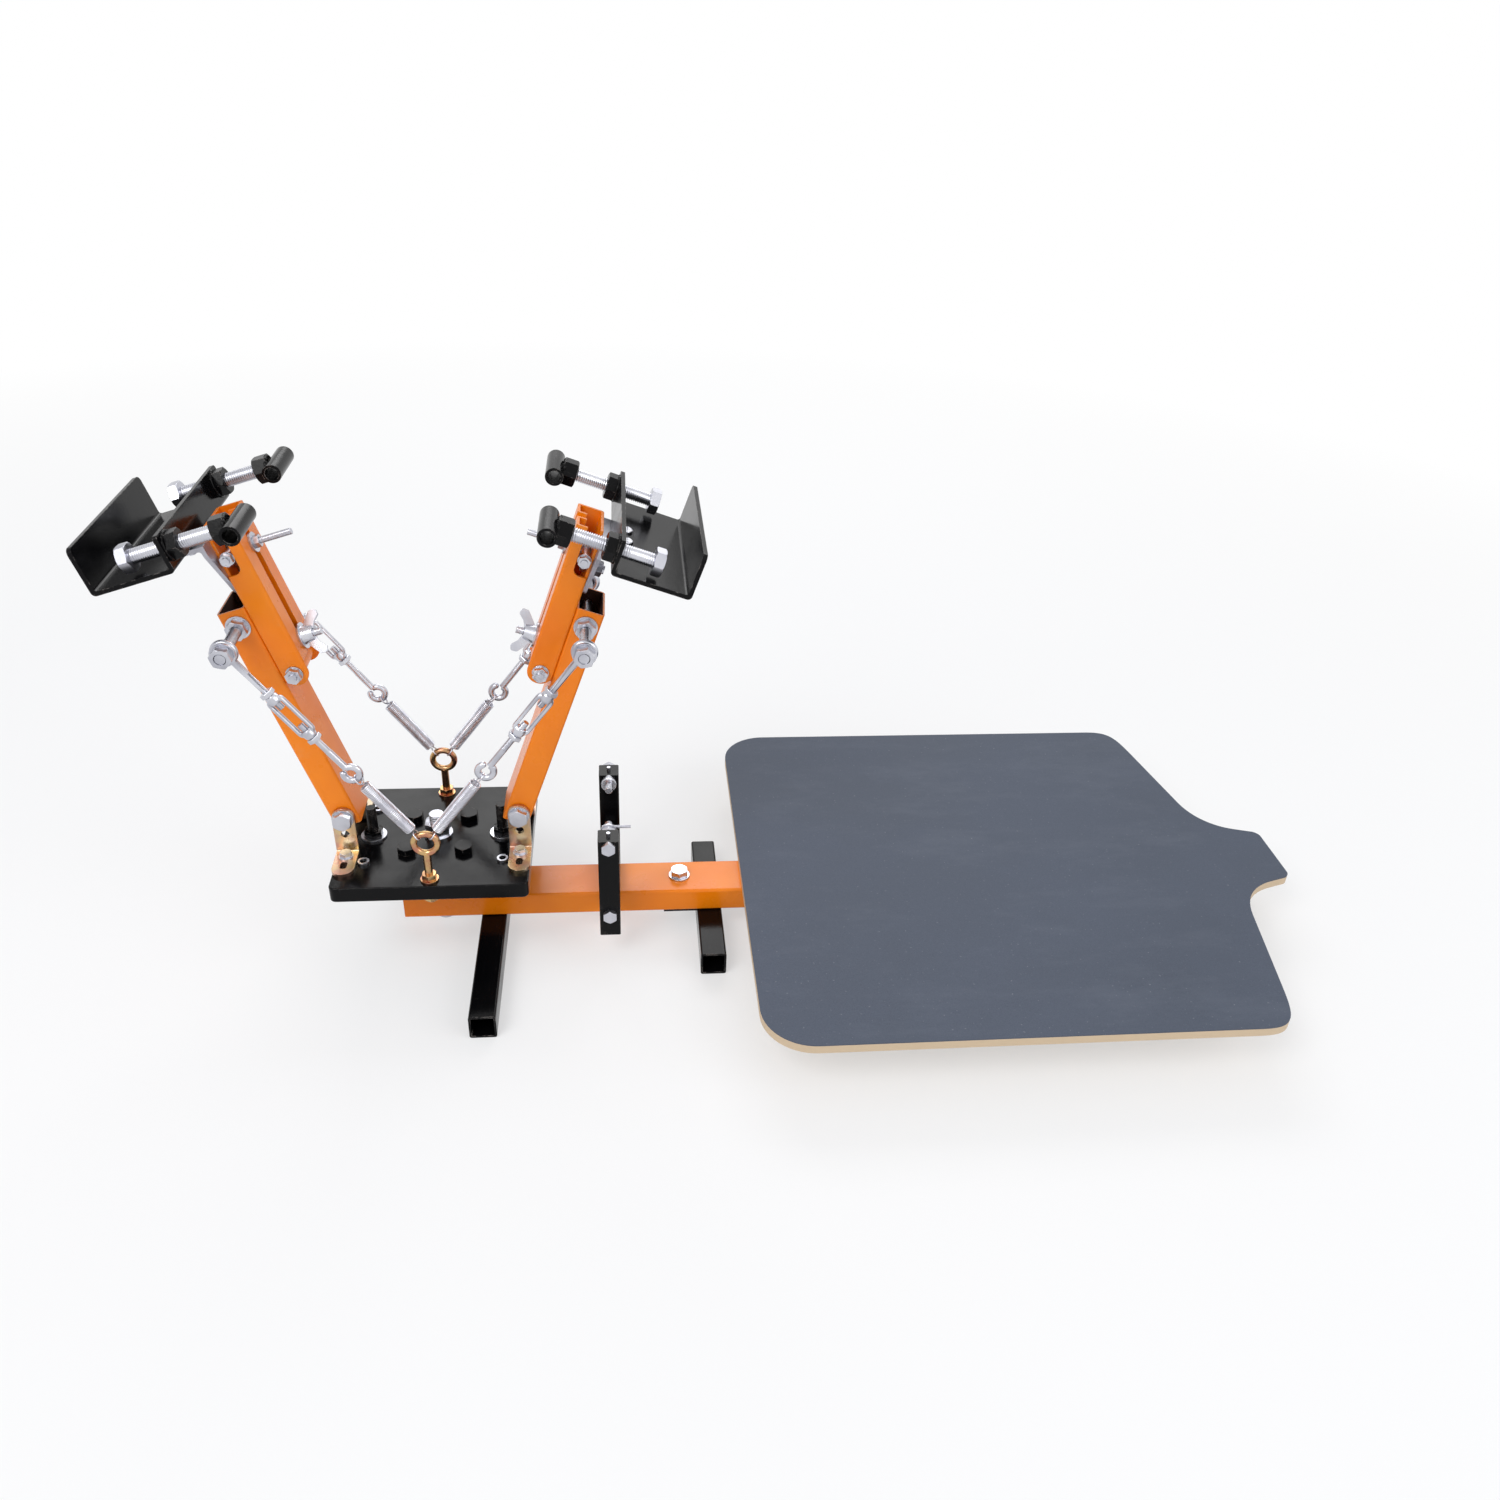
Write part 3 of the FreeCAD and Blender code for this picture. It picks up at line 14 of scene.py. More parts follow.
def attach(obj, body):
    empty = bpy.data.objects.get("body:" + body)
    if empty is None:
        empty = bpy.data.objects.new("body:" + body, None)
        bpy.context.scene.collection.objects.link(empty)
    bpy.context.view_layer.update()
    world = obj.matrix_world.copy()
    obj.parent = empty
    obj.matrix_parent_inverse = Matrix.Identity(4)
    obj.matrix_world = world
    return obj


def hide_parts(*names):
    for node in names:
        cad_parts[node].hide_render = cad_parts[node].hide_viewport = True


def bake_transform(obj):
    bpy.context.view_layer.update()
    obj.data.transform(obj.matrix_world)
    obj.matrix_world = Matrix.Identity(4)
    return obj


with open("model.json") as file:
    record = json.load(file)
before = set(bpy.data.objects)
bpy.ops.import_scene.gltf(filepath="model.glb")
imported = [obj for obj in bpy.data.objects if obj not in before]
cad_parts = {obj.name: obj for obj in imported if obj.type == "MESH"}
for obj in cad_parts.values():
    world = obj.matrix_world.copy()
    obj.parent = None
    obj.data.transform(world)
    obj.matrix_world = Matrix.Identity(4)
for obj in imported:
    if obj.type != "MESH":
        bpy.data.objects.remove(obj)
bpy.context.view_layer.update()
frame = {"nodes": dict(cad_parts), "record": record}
nodes = frame["nodes"]

MM = 0.001
X_AXIS = Vector((1, 0, 0))
Y_AXIS = Vector((0, 1, 0))
Z_AXIS = Vector((0, 0, 1))

# The machine's main places. U runs up an arm from its pivot, W outward from the arm, and S down a
# spring line from the arm's rod
HEAD_X = -40.0
PIVOT_X = 65.2
PIVOT_Z = 119.9
LEAN = {"left": 17.5, "right": 19.5}
OUTWARD = {"left": -1, "right": 1}
FRONT_REAR = {"front": -1, "rear": 1}
BEAM_TOP = 40.0
TUBE_H = 20.0
TUBE_W = 40.0
TUBE_WALL = 1.6
BOARD_T = 6.6
PLY_COUNT = 5
ROD_U = 166.0
EYE_BOLT_Y = 58.0
EYE_CENTRE_Z = 120.0

# A thread is its radius and pitch. It is cut a little under the shank that it stands for, and its
# depth, crest and start are parts of the pitch
ROD_THREAD = (4.0, 1.25)
SMALL_THREAD = (3.0, 1.0)
THREAD_UNDER = 0.04
THREAD_DEPTH = 0.6
THREAD_CREST = (0.42, 0.58)
THREAD_START = -1.013
THREAD_STEPS = 20

# Clamp screws
SCREW_Y = 56.0
SCREW_U = 243.5
SCREW_SEAT_W = 22.0
SCREW_END_W = -41.5
SCREW_THREAD = (5.0, 1.5)
HANDLE_WELD_W = -43.2
JAW_WELD_W = -3.2

# A weld is its radius, its bead's radius and the number of its ripples
HANDLE_WELD = (7.6, 1.3, 15)
JAW_WELD = (9.0, 1.2, 17)
WELD_RIPPLE = 0.16
WELD_WANDER = 0.1
WELD_WANDER_RATE = 2.7
WELD_STEPS = 5

# Arm bolts
WING_U = 139.0
WING_BOLT_W = (-8.4, -43.6)
LEVER_U = 213.0
LEVER_THREAD = (2.4, 0.8)
LEVER_W = (-20.3, -57.0)

# What stands on a spring rod outside a line's eye. The rod ends just inside its outer nuts
LINE_EYE_GAP = 0.3
WASHER_T = 1.6
M8_NUT = 6.5
ROD_SHORT_OF_NUT = 0.8

# Spring lines. A shank is given by three places along the line: the eye's is plain up to the second
# and threaded after it, and the hook's is the other way round
HOOK_S = 119.0
HOOK_R = 5.6
LINE_WIRE_R = 2.5
LINE_THREAD = (LINE_WIRE_R, 0.8)
LINE_THREAD_STEPS = 14
SPRING_R = 4.6
SPRING_WIRE_R = 0.6
SPRING_START = 131.5
SPRING_TAIL = 15.0
SPRING_LOOP_R = 4.2
SPRING_RISE = ((0.0, 0.0, 0.0), (0.3, 0.4, 2.4), (1.2, 2.4, 2.2))
EYE_RING_R = 8.5
COIL_PITCH = 1.3
COIL_STEPS = 22
HOOK_POINTS = 9
EYE_SHANK = (8.0, 20.0, 52.5)
HOOK_SHANK = (69.0, 96.0, 113.4)

# The open body of a turnbuckle: its rails are flattened rounds that run into a boss at each end
FRAME_START = 40.5
FRAME_LEN = 40.5
FRAME_BOSS = 7.0
BOSS_R = 4.6
BOSS_END_R = 3.9
BOSS_HALF_FLAT = 1.6
RAIL_SPAN = 5.2
RAIL_HALF_W = 1.6
RAIL_HALF_T = 2.2
RAIL_CORNER = 3.0
LOCK_NUT_AF = 9.0
LOCK_NUT_H = 3.5
LOCK_NUT_EASE = 0.45
MELT_VOXEL = 0.42
MELT_ROUNDS = 3

# Head and gate screws. The stop studs' tops are read from the node, within a reach of their axes
CENTRE_THREAD = (6.0, 1.75)
CENTRE_BOLT_Z = (18.4, 107.0)
STOP_THREAD = (4.0, 1.25)
STOP_X = 49.5
STOP_LOW_Z = 66.5
STOP_REACH = 4.2
GATE_X = 93.0
GATE_SCREW_Z = 109.5
GATE_SCREW_Y = (54.0, 23.0)

# Camera, solved from the photograph
PHOTO_SIZE = 1500
FOCAL_PX = 1263.49
SENSOR_MM = 36.0
CAMERA_PLACE = (0.1083, -0.8272, 0.673)
CAMERA_HEADING = 6.52
CAMERA_PITCH = 31.63
CAMERA_ROLL = 2.51

# The studio. The floor fades between two distances from the origin, and a lamp is its name, place,
# target, size and power
FLOOR_HALF = 30.0
FLOOR_DROP = 0.0003
FLOOR_FADE = (0.75, 1.9)
LAMPS = (
    ("key", (-0.9, -1.3, 1.9), (0.15, 0, 0.1), (1.2, 1.2), 26),
    ("fill", (1.6, -0.9, 1.1), (0.2, 0, 0.1), (1.4, 1.0), 9),
    ("back", (0.3, 1.7, 1.5), (0.15, 0, 0.15), (1.8, 0.8), 14),
)

# Tolerances for meshes and for the inside of a tube
MERGE = 0.002
CREASE_ANGLE = 32.0
NEAR = 0.02
BORE_MARGIN = 0.3


# Places


def arm_frame(side):
    """From an arm's own directions to the machine: X points outward, Z up the arm, from its pivot."""
    lean = math.radians(LEAN[side])
    sign = OUTWARD[side]
    out = Vector((sign * math.cos(lean), 0, -math.sin(lean)))
    up = Vector((sign * math.sin(lean), 0, math.cos(lean)))
    place = Matrix((out, up.cross(out), up)).transposed().to_4x4()
    place.translation = Vector((HEAD_X + sign * PIVOT_X, 0, PIVOT_Z)) * MM
    return place


def line_frame(side, end):
    """From a spring line's own directions to the machine: X runs down the line from the arm's rod."""
    lean = math.radians(LEAN[side])
    sign = OUTWARD[side]
    start = Vector((
        HEAD_X + sign * (PIVOT_X + ROD_U * math.sin(lean)),
        FRONT_REAR[end] * EYE_BOLT_Y,
        PIVOT_Z + ROD_U * math.cos(lean),
    ))
    run = Vector((HEAD_X, start.y, EYE_CENTRE_Z)) - start
    down = run.normalized()
    place = Matrix((down, Y_AXIS, down.cross(Y_AXIS))).transposed().to_4x4()
    place.translation = start * MM
    return place, run.length


# Shader tools


def srgb(red, green, blue):
    """A colour written as 0 to 255, as the linear RGBA that the shaders take."""
    linear = []
    for level in (red, green, blue):
        level /= 255
        linear.append(level / 12.92 if level <= 0.04045 else ((level + 0.055) / 1.055) ** 2.4)
    return (*linear, 1.0)


def shader(tree, kind, inputs=None, **settings):
    """One shader node. An input is given a value, or the socket that feeds it."""
    made = tree.nodes.new("ShaderNode" + kind)
    for key, value in settings.items():
        setattr(made, key, value)
    for key, value in (inputs or {}).items():
        if isinstance(value, bpy.types.NodeSocket):
            tree.links.new(value, made.inputs[key])
        else:
            made.inputs[key].default_value = value
    return made


def math_node(tree, operation, first, second=0.5, clamp=False):
    """The result of one Math node."""
    made = shader(tree, "Math", {0: first, 1: second}, operation=operation, use_clamp=clamp)
    return made.outputs[0]


def remap(tree, value, low, high, out_low=0.0, out_high=1.0):
    """Stretches a value from one range to another and clamps it."""
    return shader(tree, "MapRange", {
        "Value": value, "From Min": low, "From Max": high, "To Min": out_low, "To Max": out_high,
    }).outputs["Result"]


def mix(tree, factor, first, second):
    """Mixes two colours."""
    made = shader(tree, "Mix", {0: factor, 6: first, 7: second}, data_type="RGBA")
    return made.outputs[2]


def noise(tree, scale, detail=3.0, rough=0.5, stretch=None):
    """Noise in Object coordinates, stretched along the axes where a direction is wanted."""
    place = shader(tree, "TexCoord").outputs["Object"]
    if stretch:
        place = shader(tree, "Mapping", {"Vector": place, "Scale": stretch}).outputs[0]
    return shader(tree, "TexNoise", {
        "Vector": place, "Scale": scale, "Detail": detail, "Roughness": rough,
    }).outputs["Fac"]


def new_group(name, inputs, outputs):
    """An empty shader group. An input has a name and a default, and an output a name and a type."""
    tree = bpy.data.node_groups.new(name, "ShaderNodeTree")
    for label, default in inputs:
        kind = "Vector" if isinstance(default, tuple) else "Float"
        socket = tree.interface.new_socket(label, in_out="INPUT", socket_type="NodeSocket" + kind)
        socket.default_value = default
    for label, kind in outputs:
        tree.interface.new_socket(label, in_out="OUTPUT", socket_type="NodeSocket" + kind)
    return tree, tree.nodes.new("NodeGroupInput").outputs, tree.nodes.new("NodeGroupOutput").inputs


def use_group(tree, group, **values):
    """Places a group in a material with its own values. An underscore in a name stands for a space."""
    made = tree.nodes.new("ShaderNodeGroup")
    made.node_tree = group
    for label, value in values.items():
        made.inputs[label.replace("_", " ")].default_value = value
    return made.outputs


def edge_wear_group():
    """Where an outer edge is rubbed: the turn from the true to the rounded normal, broken up by noise."""
    tree, given, out = new_group(
        "edge_wear", [("Radius", 0.0008), ("Scale", 90.0), ("Cover", 0.5)], [("Mask", "Float")])
    rounded = shader(tree, "Bevel", {"Radius": given["Radius"]}, samples=4).outputs[0]
    true = shader(tree, "NewGeometry").outputs["Normal"]
    turn = shader(tree, "VectorMath", {0: rounded, 1: true}, operation="DOT_PRODUCT").outputs["Value"]
    edge = remap(tree, turn, 0.985, 0.86)
    patches = remap(tree, noise(tree, given["Scale"], 4.0, 0.65), 0.42, 0.62)
    level = math_node(tree, "SUBTRACT", patches, math_node(tree, "SUBTRACT", 1.0, given["Cover"]))
    broken = remap(tree, level, -0.15, 0.25)
    tree.links.new(math_node(tree, "MULTIPLY", edge, broken, clamp=True), out["Mask"])
    return tree


def scuff_group():
    """Fine rubbed streaks in two directions and soft smears, for paint that has been handled."""
    tree, given, out = new_group(
        "scuffs", [("Scale", 60.0), ("Cover", 0.4)], [("Streaks", "Float"), ("Smears", "Float")])
    streaks = None
    for stretch in ((1.0, 14.0, 1.0), (9.0, 1.0, 2.0)):
        lines = remap(tree, noise(tree, given["Scale"], 5.0, 0.7, stretch), 0.6, 0.72)
        streaks = lines if streaks is None else math_node(tree, "MAXIMUM", streaks, lines)
    zones = remap(tree, noise(tree, 14.0, 2.0), 0.45, 0.65)
    cover = math_node(tree, "MULTIPLY", zones, given["Cover"])
    tree.links.new(math_node(tree, "MULTIPLY", streaks, cover, clamp=True), out["Streaks"])
    tree.links.new(remap(tree, noise(tree, 22.0, 4.0, 0.6), 0.35, 0.7), out["Smears"])
    return tree


def skin_group():
    """The small unevenness of a sprayed, plated or rolled surface: a height and a slow change of tone."""
    tree, given, out = new_group(
        "skin", [("Peel Scale", 700.0), ("Tone Scale", 18.0)], [("Height", "Float"), ("Tone", "Float")])
    tree.links.new(noise(tree, given["Peel Scale"], 2.0), out["Height"])
    tree.links.new(remap(tree, noise(tree, given["Tone Scale"], 3.0), 0.3, 0.7), out["Tone"])
    return tree


def bore_group():
    """The inside of a tube, found in the tube's own frame, where Z runs along it; it marks where painted
    shade goes.
    """
    tree, given, out = new_group(
        "tube_bore", [("Place", (0.0, 0.0, 0.0)), ("Turn", (0.0, 0.0, 0.0))], [("Mask", "Float")])
    local = shader(tree, "Mapping", {
        "Vector": shader(tree, "TexCoord").outputs["Object"], "Location": given["Place"],
        "Rotation": given["Turn"],
    }, vector_type="TEXTURE").outputs[0]
    across = shader(tree, "SeparateXYZ", {0: local}).outputs
    within = []
    for axis, size in (("X", TUBE_H), ("Y", TUBE_W)):
        inner = (size / 2 - TUBE_WALL + BORE_MARGIN) * MM
        within.append(math_node(tree, "LESS_THAN", math_node(tree, "ABSOLUTE", across[axis]), inner))
    tree.links.new(math_node(tree, "MULTIPLY", *within), out["Mask"])
    return tree


EDGE_WEAR = edge_wear_group()
SCUFFS = scuff_group()
SKIN = skin_group()
BORE = bore_group()


def finish_of(name, fixed, **fed):
    """A material with a Principled surface: fixed sockets get values and fed ones get sockets."""
    principled_inputs = {key.replace("_", " "): value for key, value in {**fixed, **fed}.items()}
    material = bpy.data.materials[name]
    tree = material.node_tree
    surface = shader(tree, "BsdfPrincipled", principled_inputs)
    out = shader(tree, "OutputMaterial")
    tree.links.new(surface.outputs[0], out.inputs["Surface"])
    return material


def empty_material(name):
    """The node tree of a new material with nothing in it."""
    material = bpy.data.materials.new(name)
    material.use_nodes = True
    material.node_tree.nodes.clear()
    return material.node_tree


def bump(tree, height, strength, distance, radius=0.0):
    """A bump over a normal that rounds the sharp edges by a small radius."""
    inputs = {"Height": height, "Strength": strength, "Distance": distance}
    if radius > 0:
        inputs["Normal"] = shader(tree, "Bevel", {"Radius": radius}, samples=4).outputs[0]
    return shader(tree, "Bump", inputs).outputs[0]


def paint(name, colour, deep, under, rough, edge_radius, cover, scuff, gloss, tube=None):
    """Gloss paint, deeper in places, scuffed and worn through on outer edges. A tube's bore carries painted
    shade: dark red-brown, and rougher.
    """
    tree = empty_material(name)
    skin = use_group(tree, SKIN, Peel_Scale=420.0, Tone_Scale=16.0)
    scuffs = use_group(tree, SCUFFS, Scale=55.0, Cover=scuff)
    wear = use_group(tree, EDGE_WEAR, Radius=edge_radius, Scale=150.0, Cover=cover)
    colours = mix(tree, skin["Tone"], deep, colour)
    colours = mix(tree, scuffs["Streaks"], colours, under)
    colours = mix(tree, wear["Mask"], colours, under)
    shine = remap(tree, scuffs["Smears"], 0.0, 1.0, rough, rough + 0.14)
    shine = math_node(tree, "ADD", shine, math_node(tree, "MULTIPLY", scuffs["Streaks"], 0.3))
    if tube:
        # Painted shade: inside a tube's bore the colour turns dark red-brown, standing for the shadow
        # there, and the surface turns rougher.
        bore = use_group(tree, BORE, Place=tube.to_translation(), Turn=tube.to_euler())["Mask"]
        colours = mix(tree, bore, colours, BORE_PAINTED_SHADE)
        shine = math_node(tree, "ADD", shine, math_node(tree, "MULTIPLY", bore, 0.35))
    return finish_of(
        name, gloss,
        Base_Color=colours, Roughness=shine, Normal=bump(tree, skin["Height"], 0.12, 0.0004, 0.0006))


def plating(name, colour, dull, rough, tone_scale=40.0, edge_radius=0.0003):
    """Plated steel: bright, with slow changes of tone and a faint grain."""
    tree = empty_material(name)
    skin = use_group(tree, SKIN, Peel_Scale=1500.0, Tone_Scale=tone_scale)
    colours = mix(tree, skin["Tone"], dull, colour)
    shine = remap(tree, skin["Tone"], 0.0, 1.0, rough + 0.14, rough)
    return finish_of(
        name, {"Metallic": 1.0},
        Base_Color=colours, Roughness=shine, Normal=bump(tree, skin["Height"], 0.1, 0.0002, edge_radius))


def yellow_plating(name, light, rose, dull, rough):
    """Yellow chromate over zinc, which turns rose and green-grey in places."""
    tree = empty_material(name)
    skin = use_group(tree, SKIN, Peel_Scale=1200.0, Tone_Scale=55.0)
    rose_patches = remap(tree, noise(tree, 70.0, 3.0, 0.6), 0.45, 0.6)
    colours = mix(tree, rose_patches, light, rose)
    colours = mix(tree, remap(tree, skin["Tone"], 0.55, 1.0, 0.0, 0.55), colours, dull)
    shine = remap(tree, skin["Tone"], 0.0, 1.0, rough, rough + 0.15)
    return finish_of(
        name, {"Metallic": 1.0},
        Base_Color=colours, Roughness=shine, Normal=bump(tree, skin["Height"], 0.1, 0.0002, 0.0003))


def rolled_steel(name, colour, dull):
    """Bare rolled plate: grey, satin, with a grain along its length."""
    tree = empty_material(name)
    grain = noise(tree, 900.0, 3.0, 0.6, (1.0, 1.0, 0.06))
    tone = noise(tree, 30.0, 3.0)
    colours = mix(tree, remap(tree, tone, 0.35, 0.65), dull, colour)
    shine = remap(tree, grain, 0.3, 0.7, 0.36, 0.5)
    return finish_of(
        name, {"Metallic": 0.85},
        Base_Color=colours, Roughness=shine, Normal=bump(tree, grain, 0.12, 0.0002, 0.0003))


def plywood(name):
    """Light plies with darker ones between, seen on the sawn edge, and long grain on the underside."""
    tree = empty_material(name)
    place = shader(tree, "TexCoord").outputs["Object"]
    height = shader(tree, "SeparateXYZ", {0: place}).outputs["Z"]
    wobble = math_node(tree, "MULTIPLY", noise(tree, 14.0, 3.0), 0.0006)
    level = math_node(tree, "ADD", math_node(tree, "SUBTRACT", height, BEAM_TOP * MM), wobble)
    ply = math_node(tree, "DIVIDE", level, BOARD_T * MM / PLY_COUNT)
    turn = math_node(tree, "SINE", math_node(tree, "MULTIPLY", ply, math.pi))
    cross_ply = remap(tree, turn, -0.25, 0.25)
    glue = remap(tree, math_node(tree, "ABSOLUTE", turn), 0.22, 0.0)
    along = noise(tree, 120.0, 6.0, 0.7, (0.08, 1.0, 1.0))
    across = noise(tree, 260.0, 6.0, 0.7, (1.0, 0.3, 2.0))
    grain = mix(tree, cross_ply, along, across)
    light = mix(tree, grain, srgb(242, 220, 186), srgb(205, 170, 124))
    dark = mix(tree, grain, srgb(214, 178, 132), srgb(160, 118, 78))
    colours = mix(tree, cross_ply, light, dark)
    colours = mix(tree, math_node(tree, "MULTIPLY", glue, 0.6), colours, srgb(120, 82, 54))
    return finish_of(
        name, {"Roughness": 0.68, "Specular_IOR_Level": 0.3},
        Base_Color=colours, Normal=bump(tree, along, 0.25, 0.0003, 0.0004))


def slate_laminate(name):
    """Satin grey-blue facing: a fine stipple, faint cloudiness, and lint caught on it."""
    tree = empty_material(name)
    stipple = noise(tree, 1100.0, 3.0, 0.6)
    clouds = remap(tree, noise(tree, 7.0, 4.0, 0.6), 0.3, 0.7)
    fleck = remap(tree, noise(tree, 420.0, 2.0, 0.5), 0.68, 0.76)
    rubbed = remap(tree, noise(tree, 26.0, 5.0, 0.7, (0.35, 1.0, 1.0)), 0.5, 0.75, 0.0, 0.35)
    colours = mix(tree, clouds, srgb(77, 84, 97), srgb(87, 94, 108))
    colours = mix(tree, remap(tree, stipple, 0.3, 0.7, 0.0, 0.5), colours, srgb(64, 70, 82))
    colours = mix(tree, rubbed, colours, srgb(100, 106, 118))
    colours = mix(tree, math_node(tree, "MULTIPLY", fleck, 0.35), colours, srgb(150, 155, 162))
    shine = remap(tree, clouds, 0.0, 1.0, 0.52, 0.62)
    return finish_of(
        name, {"Specular_IOR_Level": 0.2},
        Base_Color=colours, Roughness=shine, Normal=bump(tree, stipple, 0.22, 0.0003))


# Painted shade: the dark red-brown that stands for the shadow inside a tube's bore.
BORE_PAINTED_SHADE = srgb(52, 24, 14)
BEAM_FRAME = Matrix.Translation((0, 0, (BEAM_TOP - TUBE_H / 2) * MM)) @ Matrix.Rotation(math.pi / 2, 4, "Y")
TUBES = {"left_arm_tube": arm_frame("left"), "right_arm_tube": arm_frame("right"), "beam": BEAM_FRAME}


def orange_paint(name, tube=None):
    """The orange enamel of the beam and the arms."""
    return paint(
        name, colour=srgb(244, 135, 12), deep=srgb(233, 117, 6), under=srgb(206, 172, 130),
        rough=0.24, edge_radius=0.0009, cover=0.34, scuff=0.12,
        gloss={"Specular_IOR_Level": 0.28, "Coat_Weight": 0.12, "Coat_Roughness": 0.08}, tube=tube)


ORANGE = orange_paint("orange_enamel")
BLACK = paint(
    "black_enamel", colour=srgb(9, 9, 10), deep=srgb(4, 4, 6), under=srgb(118, 112, 108),
    rough=0.12, edge_radius=0.0011, cover=0.4, scuff=0.1, gloss={"Specular_IOR_Level": 0.13})
ZINC = plating("bright_zinc", srgb(214, 215, 222), srgb(178, 179, 188), 0.22)
SPRING_ZINC = plating(
    "spring_zinc", srgb(222, 222, 228), srgb(186, 186, 196), 0.2, tone_scale=90.0, edge_radius=0.0)
DARK_STEEL = plating("oiled_steel", srgb(120, 120, 124), srgb(84, 84, 90), 0.3)
CARRIER = rolled_steel("rolled_steel", srgb(196, 196, 204), srgb(164, 163, 172))
YELLOW_ZINC = yellow_plating(
    "yellow_zinc", srgb(208, 186, 146), srgb(200, 158, 140), srgb(172, 168, 156), 0.22)
COPPER_ZINC = yellow_plating(
    "copper_zinc", srgb(198, 166, 116), srgb(184, 126, 104), srgb(140, 112, 88), 0.18)
PLYWOOD = plywood("plywood")
LAMINATE = slate_laminate("slate_laminate")

FINISHES = {
    "orange_paint": ORANGE,
    "black_paint": BLACK,
    "zinc": ZINC,
    "carrier_steel": CARRIER,
    "yellow_plate": YELLOW_ZINC,
    "plywood": PLYWOOD,
    "laminate": LAMINATE,
}
OTHER_FINISH = {
    "front_eye_bolt": COPPER_ZINC,
    "rear_eye_bolt": COPPER_ZINC,
    "thrust_washer": DARK_STEEL,
    **{name: orange_paint("orange_" + name, tube) for name, tube in TUBES.items()},
}

for part in frame["record"]["subparts"]:
    node_object = nodes[part["node"]]
    node_object.data.materials.clear()
    node_object.data.materials.append(OTHER_FINISH.get(part["node"], FINISHES[part["material_slot"]]))


# Mesh tools


def aim(start, direction):
    """A matrix that turns +Z to a direction and moves the origin to a point, both in millimetres."""
    turn = direction.to_track_quat("Z", "X").to_matrix().to_4x4()
    turn.translation = start * MM
    return turn


def wind(made, advance, turns, steps):
    """Sweeps the profile that is there along a helix: one turn is spun, and the others are copies of it."""
    bmesh.ops.spin(
        made, geom=made.verts[:] + made.edges[:], cent=(0, 0, 0), axis=advance.normalized(),
        dvec=advance / steps, angle=math.tau, steps=steps)
    turn = made.verts[:] + made.edges[:] + made.faces[:]
    for i in range(1, turns):
        copied = bmesh.ops.duplicate(made, geom=turn)["geom"]
        bmesh.ops.translate(
            made, vec=advance * i, verts=[part for part in copied if isinstance(part, bmesh.types.BMVert)])
    bmesh.ops.remove_doubles(made, verts=made.verts, dist=advance.length * 0.01)


def append_bmesh(bm, made):
    """Adds one bmesh to another and frees it."""
    mesh = bpy.data.meshes.new("step")
    made.to_mesh(mesh)
    made.free()
    bm.from_mesh(mesh)
    bpy.data.meshes.remove(mesh)


def add_thread(bm, thread, start, end, steps=THREAD_STEPS):
    """A cut thread from start to end, with flat crests, closed by flat ends.

    It is wound from a little more than a pitch early, so that no cut runs through its corners.
    """
    radius, pitch = thread
    radius -= THREAD_UNDER
    length = (end - start).length
    turns = math.ceil(length / pitch) + 2
    root = radius - THREAD_DEPTH * pitch
    rise, fall = THREAD_CREST
    made = bmesh.new()
    profile = []
    for r, z in ((root, 0.0), (radius, rise), (radius, fall), (root, 1.0)):
        profile.append(made.verts.new((r * MM, 0, (z + THREAD_START) * pitch * MM)))
    for pair in zip(profile, profile[1:]):
        made.edges.new(pair)
    wind(made, Z_AXIS * (pitch * MM), turns, steps)
    for height, keep_above in ((0.0, True), (length * MM, False)):
        cut = bmesh.ops.bisect_plane(
            made, geom=made.verts[:] + made.edges[:] + made.faces[:], plane_co=(0, 0, height),
            plane_no=Z_AXIS, clear_inner=keep_above, clear_outer=not keep_above)
        rim = [e for e in cut["geom_cut"] if isinstance(e, bmesh.types.BMEdge)]
        bmesh.ops.holes_fill(made, edges=rim)
    bmesh.ops.recalc_face_normals(made, faces=made.faces)
    for face in made.faces:
        face.smooth = len(face.verts) < 6
    bmesh.ops.transform(made, matrix=aim(start, end - start), verts=made.verts)
    append_bmesh(bm, made)


def add_weld(bm, weld, centre, axis, phase):
    """A welded bead round a nut: its thickness ripples as the weld was laid."""
    radius, bead, ripples = weld
    made = bmesh.new()
    side = axis.cross(X_AXIS).normalized()
    profile = bmesh.ops.create_circle(made, segments=8, radius=bead * MM)["verts"]
    turn = Matrix((axis.cross(side), axis, side)).transposed().to_4x4()
    turn.translation = (centre + axis.cross(side) * -radius) * MM
    bmesh.ops.transform(made, matrix=turn, verts=profile)
    bmesh.ops.spin(
        made, geom=made.verts[:] + made.edges[:], cent=centre * MM, axis=axis, angle=math.tau,
        steps=ripples * WELD_STEPS, use_merge=True)
    for vert in made.verts:
        spoke = vert.co - centre * MM
        flat = spoke - axis * spoke.dot(axis)
        core = centre * MM + flat.normalized() * radius * MM
        angle = math.atan2(flat.dot(side), flat.dot(X_AXIS))
        ripple = WELD_RIPPLE * math.sin(ripples * angle + phase)
        wander = WELD_WANDER * math.sin(WELD_WANDER_RATE * angle + 3 * phase)
        vert.co = core + (vert.co - core) * (1 + ripple + wander)
    bmesh.ops.recalc_face_normals(made, faces=made.faces)
    for face in made.faces:
        face.smooth = True
    append_bmesh(bm, made)


def make_piece(name, bm, finish, body=None, replaced=()):
    """The bmesh as a named object at the origin, with its finish, its body and the nodes it stands for."""
    mesh = bpy.data.meshes.new(name)
    bm.to_mesh(mesh)
    bm.free()
    mesh.materials.append(finish)
    piece = bpy.data.objects.new(name, mesh)
    bpy.context.scene.collection.objects.link(piece)
    if body:
        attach(piece, body)
    if replaced:
        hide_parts(*replaced)
    return piece


